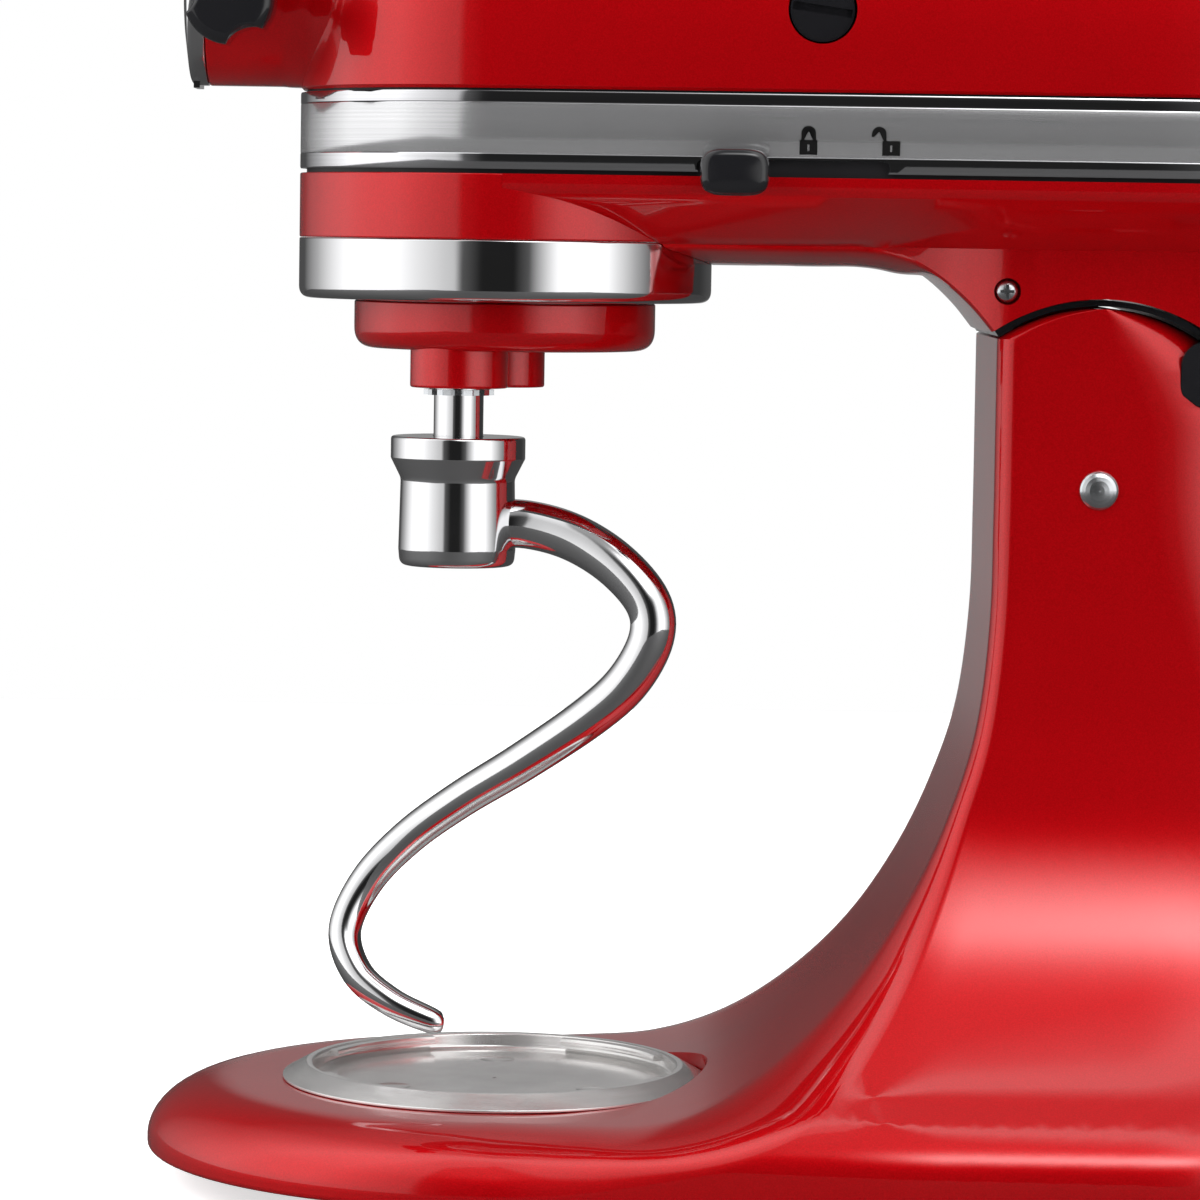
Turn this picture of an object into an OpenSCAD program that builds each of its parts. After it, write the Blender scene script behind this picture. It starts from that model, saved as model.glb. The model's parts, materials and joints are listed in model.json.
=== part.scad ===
// Tilt-head stand mixer with a dough hook, drawn as its separate pieces.
// Millimetres, +Z up. The origin is under the middle of the mixer, on the table.
// The attachment hub and the bowl seat are at -X, the hinge column at +X.

/* [Overall] */
// Height of the mixer with its head down
total_h = 353; // [350:0.5:356]
// Height of the bottom edge of the steel trim band
band_z = 262; // [261.5:0.1:262.5]
// Height of the steel trim band
band_h = 20; // [19.5:0.1:20.5]
// X of the bowl, which is also the planetary's axis
bowl_x = -88; // [-88.5:0.1:-87.5]

/* [Base and column] */
// Radius of the rounded front of the base
base_r = 90.5; // [90:0.1:91]
// Height of the base under the bowl seat
base_top = 26; // [25.8:0.1:26.2]
// Half-width of the column at the hinge
column_w = 41; // [40.5:0.1:41.5]
// X of the hinge pin's axis
hinge_x = 63; // [62.5:0.1:63.5]
// Height of the hinge pin's axis
hinge_z = 184.3; // [184:0.1:184.6]
// Radius of the hinge pin
pin_r = 5; // [4.8:0.1:5.2]

/* [Bowl seat] */
// Outer radius of the bowl clamp plate
plate_r = 55.5; // [55:0.1:56]
// Inner radius of the bowl clamp plate's wall
plate_inner_r = 47.5; // [47:0.1:48]

/* [Head] */
// Radius of the head's front, the drip ring and the trim band
front_r = 53.4; // [53.2:0.1:53.6]
// Half-width of the head at its widest
head_w = 61; // [60.5:0.1:61.5]
// X of the head's rear end
head_rear = 178.2; // [177.8:0.1:178.6]
// Thickness of the cast walls
wall = 3.5; // [3:0.1:4]

/* [Attachment hub] */
// Height of the hub's axis
hub_z = 308; // [307.5:0.1:308.5]
// Outer radius of the hub
hub_r = 24.5; // [24:0.1:25]
// Radius of the hub's bore
hub_bore_r = 17.5; // [17.4:0.05:17.6]
// Depth of the hub's bore
hub_bore_l = 22; // [21:0.5:23]

/* [Planetary drive] */
// Distance of the agitator's axis from the planetary's axis
throw = 24; // [24:0.1:24]
// Direction of the agitator from the planetary's axis, in degrees
throw_angle = -117.4; // [-118:0.1:-117]
// Radius of the agitator shaft
shaft_r = 6.35; // [6.3:0.05:6.4]
// Module of the spur and ring gears
gear_m = 1.5; // [1.5:0.1:1.5]
// Teeth of the fixed ring gear
ring_teeth = 48; // [48:1:48]
// Teeth of the planet pinion
planet_teeth = 16; // [16:1:16]
// Teeth of the centre gear
centre_teeth = 48; // [48:1:48]
// Teeth of the pinion under the worm wheel
pinion_teeth = 12; // [12:1:12]

/* [Hidden] */
$fn = 64;
eps = 0.01;
red = "#b3141c";
steel = "#b9bcbf";
polished = "#d6d8da";
black = "#17171a";
band_top = band_z + band_h;
agitator_x = bowl_x + throw * cos(throw_angle);
agitator_y = throw * sin(throw_angle);

// --- Shared shapes ---------------------------------------------------------

// Points along an arc from angle a0 to a1
function arc(cx, cy, r, a0, a1, n) =
  [for (i = [0:n]) let (a = a0 + (a1 - a0) * i / n) [cx + r * cos(a), cy + r * sin(a)]];

// Smooth step from 0 to 1 as x goes from a to b
function ease(x, a, b) = let (t = min(1, max(0, (x - a) / (b - a)))) t * t * (3 - 2 * t);

// Value at x on a broken line through [x, value] pairs
function along(pts, x, i = 0) =
  x <= pts[0][0] ? pts[0][1] :
  i >= len(pts) - 1 ? pts[len(pts) - 1][1] :
  x <= pts[i + 1][0]
    ? pts[i][1] + (pts[i + 1][1] - pts[i][1]) * (x - pts[i][0]) / (pts[i + 1][0] - pts[i][0])
    : along(pts, x, i + 1);

// Closed solid through a list of rings that all have the same, even number of points
module loft(rings) {
  n = len(rings[0]);
  m = len(rings);
  points = concat([for (ring = rings) for (p = ring) p],
                  [for (ring = [rings[0], rings[m - 1]]) (ring[0] + ring[n / 2]) / 2]);
  sides = [for (k = [0:m - 2]) for (i = [0:n - 1])
    let (a = k * n + i, b = k * n + (i + 1) % n)
    each [[a, b, a + n], [b, b + n, a + n]]];
  last = (m - 1) * n;
  ends = [for (i = [0:n - 1]) let (j = (i + 1) % n)
    each [[j, i, m * n], [last + i, last + j, m * n + 1]]];
  polyhedron(points, concat(sides, ends), convexity = 6);
}

// Outline of a spur gear: one straight-sided tooth per step, slimmed for backlash
module gear_outline(teeth, m, tip, root, slim) {
  step = 360 / teeth;
  pitch = m * teeth / 2;
  half = step / 4 - slim;
  flank = step / 12;
  tooth = [[root, -half - flank], [tip, flank - half], [tip, half - flank], [root, half + flank]];
  polygon([for (i = [0:teeth - 1]) for (q = tooth)
    let (a = i * step + q[1], r = pitch + q[0]) [r * cos(a), r * sin(a)]]);
}

// Solid of revolution about the X axis, from [x, radius] points
module turned_x(pts) {
  rotate([0, 90, 0]) rotate_extrude() polygon([for (p = pts) [p[1], p[0]]]);
}

// Solid of revolution about the Y axis, from [y, radius] points
module turned_y(pts) {
  rotate([-90, 0, 0]) rotate_extrude() polygon([for (p = pts) [p[1], p[0]]]);
}

// Solid of revolution about the Z axis, from [z, radius] points
module turned_z(pts) {
  rotate_extrude() polygon([for (p = pts) [p[1], p[0]]]);
}

// Cylinder along Y from y0 to y1
module rod_y(r, y0, y1) {
  translate([0, y0, 0]) rotate([-90, 0, 0]) cylinder(r = r, h = y1 - y0);
}

// Cylinder along X from x0 to x1
module rod_x(r, x0, x1) {
  translate([x0, 0, 0]) rotate([0, 90, 0]) cylinder(r = r, h = x1 - x0);
}

// Round-headed screw pointing down -Z, with its head's seat at z = 0 and a cross recess
module screw(shank_r, shank_l, head_r, head_h) {
  difference() {
    union() {
      translate([0, 0, -shank_l]) cylinder(r = shank_r, h = shank_l + eps);
      turned_z([[0, 0], [0, head_r], [head_h * 0.5, head_r], [head_h, head_r * 0.6], [head_h, 0]]);
    }
    for (a = [0, 90]) rotate([0, 0, a])
      translate([-head_r * 0.55, -head_r * 0.11, head_h * 0.35])
        cube([head_r * 1.1, head_r * 0.22, head_h]);
  }
}

// --- Base and column -------------------------------------------------------

base_bottom = 8; // underside of the casting; the feet reach down from it
base_w = 103; // half-width of the base behind the bowl
column_top_r = 45.8; // radius of the column's rounded top, about the hinge
saddle_r = 48.1; // radius of the hollow in the head that sits over it
seat_z = 25.8; // floor of the bowl clamp plate
plate_screw_at = 30; // distance of the plate's screws from its middle
plate_screw_turns = [90, 210, 330]; // places of the plate's screws about its middle

// Catmull-Rom curve through points, k steps to a span
function curve(p, k) = [
  for (i = [0:len(p) - 2]) for (j = [0:k - 1])
    let (a = p[max(0, i - 1)], b = p[i], c = p[i + 1], d = p[min(len(p) - 1, i + 2)], t = j / k)
    0.5 * (2 * b + (c - a) * t + (2 * a - 5 * b + 4 * c - d) * t * t
      + (3 * b - a - 3 * c + d) * t * t * t),
  p[len(p) - 1]];

// Top of the base and front of the column, from the bowl seat up, as [x, z]
front_line = [[bowl_x, base_top], [-66, 26], [-46, 27.2], [-28, 33.5], [-10, 46.5], [6, 63.5],
              [19, 84], [28, 104.5], [33.8, 124.5], [36.6, 150], [37, 176], [37, 200]];
// Matching points on the floor line and up the rear of the column
rear_line = [[bowl_x, base_bottom], [-52, base_bottom], [-14, base_bottom], [24, base_bottom],
             [64, base_bottom], [104, base_bottom], [148, base_bottom], [163, 24], [145, 52],
             [123, 103], [108, 166], [105.5, 200]];
// Half-width of the side walls at each height
side_line = [[26, 1], [40, 0.7], [55, 0.48], [70, 0.31], [85, 0.19], [100, 0.1], [125, 0.03], [150, 0]];
// Half-width of the base's outline along its length
plan_line = [[bowl_x, base_r], [-40, 97], [10, base_w], [90, base_w], [130, 92], [155, 74], [167, 50]];

function side_w(x, z) = column_w + (along(plan_line, x) - column_w) * along(side_line, z);

edge_w = 22; // how far the base's rounded edge reaches in
edge_h = 15; // how far it reaches down
foot_edge = 2; // rounding at the casting's lower edge

// Section of the casting from front point p to rear point q; f goes from base to column
function casting_ring(p, q, f) =
  let (len_pq = norm(q - p), dir = (q - p) / len_pq,
       cw = edge_w + (9 - edge_w) * f, cd = min(edge_h + (9 - edge_h) * f, 0.42 * len_pq + 8 * (1 - f)),
       rw = foot_edge + 16 * f, rd = min(1.5 + 10 * f, 0.42 * len_pq),
       depth = concat([for (a = [0:15:90]) cd * (1 - cos(a))],
                      [for (t = [0.25:0.25:0.75]) cd + (len_pq - cd - rd) * t],
                      [for (a = [90:-18:0]) len_pq - rd * (1 - cos(a))]),
       inset = concat([for (a = [0:15:90]) cw * (1 - sin(a))], [0, 0, 0],
                      [for (a = [90:-18:0]) rw * (1 - sin(a))]),
       half = [for (i = [0:len(depth) - 1])
         let (x = p[0] + dir[0] * depth[i], z = max(base_bottom, p[1] + dir[1] * depth[i]))
         [x, side_w(x, z) - inset[i], z]])
  mirror_ring([p[0], 0, p[1]], half, [q[0], 0, max(base_bottom, q[1])]);

// Whole ring from its two middle points and the half between them
function mirror_ring(first, half, last) =
  concat([first], half, [last], [for (i = [len(half) - 1:-1:0]) [half[i][0], -half[i][1], half[i][2]]]);

// Section across the round front of the base, rho in front of the bowl's axis
function front_ring(rho) =
  let (low = base_top - edge_h, flat = base_r - edge_w,
       rise = rho > flat ? sqrt(1 - pow((rho - flat) / edge_w, 2)) : 1,
       levels = concat([for (a = [0:15:90]) low + edge_h * rise * cos(a)],
                       [for (t = [0.25:0.25:0.75]) low + (base_bottom + 1.5 - low) * t],
                       [for (a = [90:-18:0]) base_bottom + 1.5 * (1 - cos(a))]),
       half = [for (i = [0:len(levels) - 1])
         let (up = max(0, (levels[i] - low) / edge_h),
              foot = i > 9 ? foot_edge * (1 - sin(90 - 18 * (i - 10))) : 0,
              r = flat + edge_w * sqrt(max(0, 1 - up * up)) - foot)
         [bowl_x - rho, max(0.6, sqrt(max(0, r * r - rho * rho))), levels[i]]])
  mirror_ring([bowl_x - rho, 0, low + edge_h * rise], half, [bowl_x - rho, 0, base_bottom]);

foot_r = 9; // radius of a rubber foot
foot_h = 13.9; // height of a rubber foot, most of it inside the base

module base_casting() {
  front = curve(front_line, 3);
  rear = curve(rear_line, 3);
  n = len(front) - 1;
  color(red) difference() {
    loft(concat(
      [for (a = [85, 78, 70, 60, 48, 36, 24, 12]) front_ring(base_r * sin(a))],
      [for (i = [0:n]) casting_ring(front[i], rear[i], ease(front[i][1], base_top, 110))],
      // Rounded top of the column, about the hinge pin
      [for (a = [27:7:83]) let (z = column_top_r * sin(a), x = column_top_r * cos(a))
        casting_ring([hinge_x - min(26, x), hinge_z + z], [hinge_x + x, hinge_z + z], 1)]));
    // Hollow inside the column and the base
    translate([0, 33, 0]) rotate([90, 0, 0]) linear_extrude(66)
      polygon([[-6, 0], [-6, 14], [30, 70], [45, 120], [45, 165], [100, 165], [103, 130],
               [122, 80], [140, 30], [146, 0]]);
    translate([bowl_x, 0, 0]) cylinder(r = base_r - 10, h = 14);
    translate([bowl_x, -80, 0]) cube([226, 160, 14]);
    // Seat for the bowl clamp plate
    translate([bowl_x, 0, seat_z - 1.6]) cylinder(r = plate_inner_r + 2.3, h = 20);
    translate([bowl_x, 0, base_top + 0.05]) cylinder(r = plate_r + 0.3, h = 20);
    for (a = plate_screw_turns) translate([bowl_x, 0, 0]) rotate([0, 0, a])
      translate([plate_screw_at, 0, 0]) cylinder(r = 2.6, h = 40);
    // Slot in which the head's hinge lug swings
    translate([44, -26, 160]) cube([55, 52, 90]);
    // Hinge pin bore
    translate([hinge_x, 0, hinge_z]) rod_y(pin_r + 0.02, -60, 60);
    // Pocket for the rear cover
    cover_pocket(0.1);
    foot_places() {
      cylinder(r = foot_r + 0.1, h = foot_h + 0.1);
      cylinder(r = 2.5, h = 30);
    }
  }
}

// Puts a child at each of the five feet
module foot_places() {
  for (p = [[-150, 0], [-62, -77], [-62, 77], [118, -80], [118, 80]])
    translate([p[0], p[1], 0]) children();
}

module rubber_feet() {
  color(black) foot_places() difference() {
    turned_z([[0, 0], [0, foot_r - 1.5], [1.5, foot_r], [foot_h, foot_r], [foot_h, 0]]);
    translate([0, 0, -1]) cylinder(r = 4.6, h = 4.5);
    cylinder(r = 2.4, h = 20);
  }
}

module foot_screws() {
  color(steel) foot_places() translate([0, 0, 3.4]) rotate([180, 0, 0]) {
    translate([0, 0, -12]) cylinder(r = 2.3, h = 12.5);
    turned_z([[0, 0], [0, 4.2], [1.2, 4.2], [2.2, 2.5], [2.2, 0]]);
  }
}

module hinge_pin() {
  color(steel) translate([hinge_x, 0, hinge_z])
    turned_y(concat([[-column_w - 1.8, 0]],
      [for (a = [15:15:90]) [-column_w - 1.8 * cos(a), pin_r * sin(a)]],
      [for (a = [90:-15:15]) [column_w + 1.8 * cos(a), pin_r * sin(a)]],
      [[column_w + 1.8, 0]]));
}

module bowl_clamp_plate() {
  ring = [[seat_z - 1.5, 0], [seat_z - 1.5, plate_inner_r + 2], [base_top + 0.1, plate_inner_r + 2],
          [base_top + 0.1, plate_r], [base_top + 0.8, plate_r], [29.6, plate_inner_r + 2.6],
          [30.2, plate_inner_r + 1.4], [29.9, plate_inner_r], [seat_z - 0.4, plate_inner_r],
          [seat_z - 0.4, plate_inner_r - 3.3], [seat_z, plate_inner_r - 3.5], [seat_z, 0]];
  color(steel) translate([bowl_x, 0, 0]) {
    difference() {
      turned_z(ring);
      for (a = plate_screw_turns) rotate([0, 0, a]) translate([plate_screw_at, 0, 0])
        turned_z([[0, 0], [0, 2.7], [seat_z - 1.45, 2.7], [seat_z + 0.01, 4.8], [seat_z + 0.01, 0]]);
    }
    // Inward lips of the bayonet, which hold the bowl's lugs
    for (a = [0:90:270]) rotate([0, 0, a + 22]) intersection() {
      turned_z([[28, plate_inner_r - 2.5], [28, plate_inner_r + 0.5],
                [29.8, plate_inner_r + 0.5], [29.8, plate_inner_r - 2.5]]);
      linear_extrude(60) polygon(concat([[0, 0]], arc(0, 0, 60, 0, 46, 8)));
    }
  }
}

module clamp_plate_screws() {
  color(steel) translate([bowl_x, 0, seat_z]) for (a = plate_screw_turns) rotate([0, 0, a])
    translate([plate_screw_at, 0, 0]) difference() {
      turned_z([[-9, 0], [-9, 2.5], [-1.45, 2.5], [-0.15, 4.6], [-0.05, 4.6], [-0.05, 0]]);
      for (t = [0, 90]) rotate([0, 0, t]) translate([-2.4, -0.45, -1.1]) cube([4.8, 0.9, 3]);
    }
}

// Space that the gloss black rear cover fills, grown by t
module cover_pocket(t) {
  translate([hinge_x + 20 - t, 0, 207 - t]) rotate([90, 0, 0]) linear_extrude(120, center = true)
    polygon(concat([[30, -12], [4, -1]], arc(5, 4, 5, 210, 180, 3),
      arc(6, 9, 6, 170, 90, 5), [[30, 40]]));
}

// Gloss black cover let into the rear of the column, with a cheek on each side
module column_rear_cover() {
  color(black) difference() {
    intersection() {
      cover_pocket(-0.1);
      translate([hinge_x, 0, hinge_z]) rod_y(column_top_r - 0.3, -column_w + 0.6, column_w - 0.6);
    }
    // Way for the hinge lug
    translate([44, -27, 160]) cube([55.5, 54, 90]);
  }
}

// Swing limits of the head's hinge lug at rest, in degrees about the hinge
lug_front = 110;
lug_rear = 92;

// Curved black guard under the head, which hides the column's slot
module arc_shield() {
  color(black) translate([hinge_x, 0, hinge_z]) difference() {
    intersection() {
      rod_y(47.8, -37, 37);
      rotate([90, 0, 0]) linear_extrude(100, center = true)
        polygon(concat([[0, 0]], arc(0, 0, 70, 30, 124, 12)));
    }
    rod_y(46.3, -60, 60);
    // Opening round the hinge lug
    rotate([90, 0, 0]) linear_extrude(41, center = true)
      polygon(concat([[0, 0]], arc(0, 0, 70, lug_rear - 5, lug_front + 5, 4)));
  }
}

// --- Head castings and trim ------------------------------------------------

split_x = 150; // seam between the upper housing and the end cover
band_gap = 0.6; // dark gap above and below the trim band
under_z = 243.7; // edge of the head's underside
crease_z = 256.7; // crease where the side turns inward
half_w_line = [[bowl_x, front_r], [-40, 56.5], [20, 59.5], [80, head_w], [130, 59]];

// Half-width of the head's outline at x, with the rounded front and rear left out
function head_half(x) = along(half_w_line, x);

// Head outline in plan: s scales the width, f the front and r the rear
function head_plan(s, f, r) =
  let (rear_l = (head_rear - 118) * r,
       side = concat([for (a = [0:7.5:82.5]) [bowl_x - front_r * f * cos(a), front_r * s * sin(a)]],
                     [for (x = [bowl_x:18.6:115]) [x, head_half(x) * s]],
                     [for (a = [84:-7:7]) [116 + (head_rear - 116) * r * pow(cos(a), 0.75),
                                           head_half(130) * s * pow(sin(a), 0.75)]],
                     [[116 + (head_rear - 116) * r, 0]]))
  concat(side, [for (i = [len(side) - 2:-1:1]) [side[i][0], -side[i][1]]]);

function at_z(outline, z) = [for (p = outline) [p[0], p[1], z]];

// Solid dome of the upper head, shrunk inward by t
module head_dome(t) {
  h = total_h - band_top - t;
  n = 2 / 2.7;
  loft([for (a = [0, 10, 20, 30, 40, 49, 57, 64, 70, 75, 79.5, 83, 86])
    let (s = pow(cos(a), n), up = pow(sin(a), n), k = 1 - t / 55)
    at_z(head_plan(s * k, pow(cos(a), 0.95) * k, 1 - 0.34 * (1 - pow(cos(a), 0.8)) - t / 62),
         band_top + band_gap + (h - band_gap) * (a == 86 ? 1 : up))]);
}

// Hollow of the upper head, kept simple
module head_hollow() {
  translate([0, 0, -eps]) head_dome(wall);
}

hub_front = bowl_x - 77; // X of the hub's front face
hub_back = hub_front + hub_bore_l; // X of the bottom of its bore

module hub_body() {
  translate([0, 0, hub_z]) turned_x([[hub_front, 0], [hub_front, hub_r], [bowl_x - 56, hub_r],
    [bowl_x - 51, hub_r + 1.5], [bowl_x - 44, hub_r + 5], [bowl_x - 30, hub_r + 5], [bowl_x - 30, 0]]);
}

cover_pin_x = hub_front - 2.4; // X of the hub cover's hinge pin
cover_pin_z = hub_z + hub_r + 2.4; // height of the hub cover's hinge pin
brush_x = -9.4; // X of the brush caps
cover_pin_r = 1.3; // radius of the hub cover's hinge pin
brush_z = 303; // height of the brush caps
brush_r = 8; // radius of a brush cap
knob_x = -157; // X of the hub knob's axis
knob_z = 304; // height of the hub knob's axis
knob_stud_r = 3; // radius of the hub knob's screw
hub_bush_r = 12.03; // radius of the bush of the hub's drive shaft

module upper_housing() {
  color(red) difference() {
    union() {
      difference() {
        head_dome(0);
        head_hollow();
      }
      // Inner end of the attachment hub's casting
      intersection() {
        hub_body();
        head_dome(0);
      }
      // Sockets for the brush holders
      for (s = [-1, 1]) translate([brush_x, 0, brush_z])
        rod_y(10.5, s > 0 ? 40 : -58, s > 0 ? 58 : -40);
      // Skirt behind the trim band
      translate([0, 0, band_z + 0.02]) linear_extrude(band_h + 2) difference() {
        polygon(head_plan(0.974, 0.974, 0.984));
        polygon(head_plan(0.915, 0.915, 0.96));
      }
    }
    // Slots for the lock lever and the speed lever
    translate([-41, -80, band_z - 1]) cube([48, 50, 5]);
    translate([24, 40, band_z + 6.6]) cube([62, 40, 5]);
    translate([split_x, -100, band_top + 0.3]) cube([100, 200, 200]);
    translate([0, 0, hub_z]) rod_x(hub_bush_r + 0.02, -170, bowl_x - 20);
    translate([brush_x, 0, brush_z]) {
      rod_y(brush_r + 0.03, -70, 70);
      for (s = [-1, 1]) translate([0, s * 62, 0]) rod_y(14, -6.2, 6.2);
    }
  }
}

// Front of the attachment hub, outside the dome of the head
module hub_casting() {
  color(red) difference() {
    union() {
      hub_body();
      // Boss for the hub knob's screw
      translate([knob_x, 0, knob_z]) rod_y(6.5, -25.5, -hub_bore_r - 0.5);
      // Ears that hold the hub cover's hinge pin
      for (s = [-1, 1]) translate([cover_pin_x, s > 0 ? 7 : -3.3, cover_pin_z])
        rotate([90, 0, 0]) linear_extrude(3.7) {
          circle(r = 2.3);
          polygon([[0, -2.3], [2.4, -2.3], [2.4, -6], [10, -6], [10, -1], [6, 2.3], [0, 2.3]]);
        }
    }
    head_dome(0);
    translate([bowl_x - 54, -40, 260]) cube([80, 80, band_top + band_gap - 260]);
    translate([cover_pin_x, 0, cover_pin_z]) rod_y(cover_pin_r + 0.02, -20, 20);
    translate([0, 0, hub_z]) rod_x(hub_bore_r + 2, -200, bowl_x - 20);
    translate([knob_x, 0, knob_z]) rod_y(knob_stud_r + 0.05, -60, 0);
  }
}

end_screw_x = 176.2; // X of the seat of the end cover's screw

module end_cover() {
  color(red) difference() {
    head_dome(0);
    translate([-200, -100, 200]) cube([200 + split_x + 0.25, 200, 200]);
    translate([0, 0, 200]) cube([400, 400, 2 * (band_top - 200 + 0.3)], center = true);
    intersection() {
      head_hollow();
      translate([100, -100, 200]) cube([100, 200, 200]);
    }
    translate([0, 0, 318]) {
      rod_x(2.6, 160, 190);
      rod_x(4.6, end_screw_x - 0.02, 190);
    }
    for (y = [-24:6:24]) translate([140, y - 1.2, 292]) cube([60, 2.4, 16]);
  }
}

// Everything inside the trim band's outer face
module band_solid() {
  translate([0, 0, band_z + band_gap]) linear_extrude(band_h - band_gap) polygon(head_plan(1, 1, 1));
}

module trim_band() {
  z0 = band_z + band_gap;
  color(steel) difference() {
    band_solid();
    translate([0, 0, z0 - 1]) linear_extrude(band_h + 2) polygon(head_plan(0.975, 0.975, 0.985));
    // Slot for the lock lever
    translate([-41, -80, z0 - 1]) cube([48, 40, 4.4]);
    // Slot for the speed lever
    translate([24, 40, z0 + 6]) cube([62, 40, 5]);
  }
}

// Underside of the head along its length: [x, z, half-width]
under_line = [[-46, 243.7, 36], [-10, 243.7, 31], [4, 243.7, 29], [13, 242, 30], [22, 237.2, 33],
              [30, 230.3, 37], [37, 222, 40], [44, 214, 41], [52, 206, 41], [76, 203, 41],
              [100, 203, 41], [112, 213, 40], [124, 230, 37], [134, 243, 36], [150, 246, 33],
              [166, 249, 24], [175, 252, 14]];

// Section of the lower head at one place along its length
function arm_ring(x, z, w) =
  let (rear = sqrt(max(0.03, 1 - pow(max(0, x - 116) / (head_rear - 116), 2.6))),
       top = head_half(x) * rear, hip = min(w, top * 0.72), bend = max(z, under_z) + 0.9,
       side = [[top, 259.5], [top - 0.8, crease_z], [(hip + top) / 2, (crease_z + bend) / 2 - 0.4],
               [hip, bend], [hip - 0.4, z + 0.45], [hip - 1.6, z], [hip * 0.5, z - (z > 243 ? 3 : 0.4)]])
  mirror_ring([x, 0, band_z], [for (q = concat([[top, band_z]], side)) [x, q[0], q[1]]],
              [x, 0, z - (z > 243 ? 4.4 : 0.5)]);

drum_z = 245; // lower edge of the head's round front
neck_x = 39; // X of the screws in the sides of the neck
neck_z = 234; // height of the screws in the sides of the neck

// Lug under the head that swings on the hinge pin, inside the column
module hinge_lug() {
  translate([hinge_x, 0, hinge_z]) difference() {
    intersection() {
      union() {
        rod_y(13, -20, 20);
        rotate([90, 0, 0]) linear_extrude(40, center = true)
          polygon(concat(arc(0, 0, 12, 170, 30, 6), arc(0, 0, 52, lug_rear, lug_front, 6)));
      }
      rod_y(52, -60, 60);
    }
    rod_y(pin_r + 0.06, -60, 60);
  }
}

module lower_housing() {
  floor_z = 251;
  color(red) hinge_lug();
  color(red) difference() {
    union() {
      loft([for (q = concat([[bowl_x, 243.7, 36]], under_line)) arm_ring(q[0], q[1], q[2])]);
      translate([bowl_x, 0, drum_z]) cylinder(r = front_r, h = band_z - drum_z);
    }
    // Gear case in the front, with the centre shaft's bearing seat
    translate([bowl_x, 0, floor_z + 3]) cylinder(r = front_r - 4, h = 30);
    translate([bowl_x, 0, 200]) cylinder(r = 14.02, h = 100);
    // Motor well behind it
    translate([bowl_x, -37, floor_z + 3]) cube([238, 74, 30]);
    // Hollow over the column
    translate([hinge_x, 0, hinge_z]) rod_y(saddle_r, -70, 70);
    // Neck and underside screws
    for (s = [-1, 1]) translate([neck_x, s * 36, neck_z]) rotate([-90 * s, 0, 0]) {
      translate([0, 0, -10]) cylinder(r = 2.1, h = 12);
      cylinder(r = 3.1, h = 14);
    }
    translate([-18, 0, 230]) {
      cylinder(r = 2.3, h = 30);
      cylinder(r = 4.2, h = 12.2);
    }
    // Seat for the drip ring
    translate([bowl_x, 0, 230]) cylinder(r = front_r + 0.5, h = 15.02);
  }
}

module drip_ring() {
  color(steel) translate([bowl_x, 0, 0]) difference() {
    turned_z(concat([[229.4, 0]], [for (a = [90:-15:0]) [229.4 + 3 - 3 * sin(a), front_r - 3 + 3 * cos(a)]],
      [[244.9, front_r], [244.9, 0]]));
    turned_z([[229, 0], [229, 40.6], [231.5, 40.6], [231.5, 44], [243, 44], [243, 40], [246, 40], [246, 0]]);
  }
}

module neck_screws() {
  color(polished) for (s = [-1, 1])
    translate([neck_x, s * 36, neck_z]) rotate([-90 * s, 0, 0]) screw(2, 8, 2.9, 1.6);
}

module underside_screw() {
  color(steel) translate([-18, 0, 242.2]) rotate([180, 0, 0]) screw(2.2, 9, 4, 2);
}

// --- Attachment hub --------------------------------------------------------

module hub_liner() {
  color(steel) difference() {
    translate([0, 0, hub_z]) difference() {
      rod_x(hub_bore_r + 1.98, hub_front, hub_back);
      rod_x(hub_bore_r, hub_front - 1, hub_back + 1);
    }
    translate([knob_x, 0, knob_z]) rod_y(knob_stud_r + 0.05, -60, 0);
  }
}

module hub_bush() {
  color("#9a7b4f") translate([0, 0, hub_z]) difference() {
    union() {
      rod_x(hub_bush_r, hub_back + 0.1, bowl_x - 31);
      // Flange that closes the back of the bore
      rod_x(hub_bore_r + 1.98, hub_back + 0.1, hub_back + 2.1);
    }
    rod_x(9.05, hub_back - 1, bowl_x - 30);
  }
}

module hub_drive_shaft() {
  color(steel) translate([0, 0, hub_z]) difference() {
    rod_x(9, hub_back + 0.1, bowl_x - 19);
    // Square socket that drives an attachment
    translate([hub_back - 1, -4.8, -4.8]) cube([13, 9.6, 9.6]);
  }
}

module hub_bevel_gear() {
  color(steel) translate([bowl_x - 20.5, 0, hub_z]) rotate([0, -90, 0]) difference() {
    intersection() {
      linear_extrude(9) gear_outline(32, 1.5, 1, -1.6, 0.6);
      turned_z([[0, 0], [0, 25], [9, 18], [9, 0]]);
    }
    translate([0, 0, -1]) cylinder(r = 9.02, h = 12);
  }
}

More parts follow.
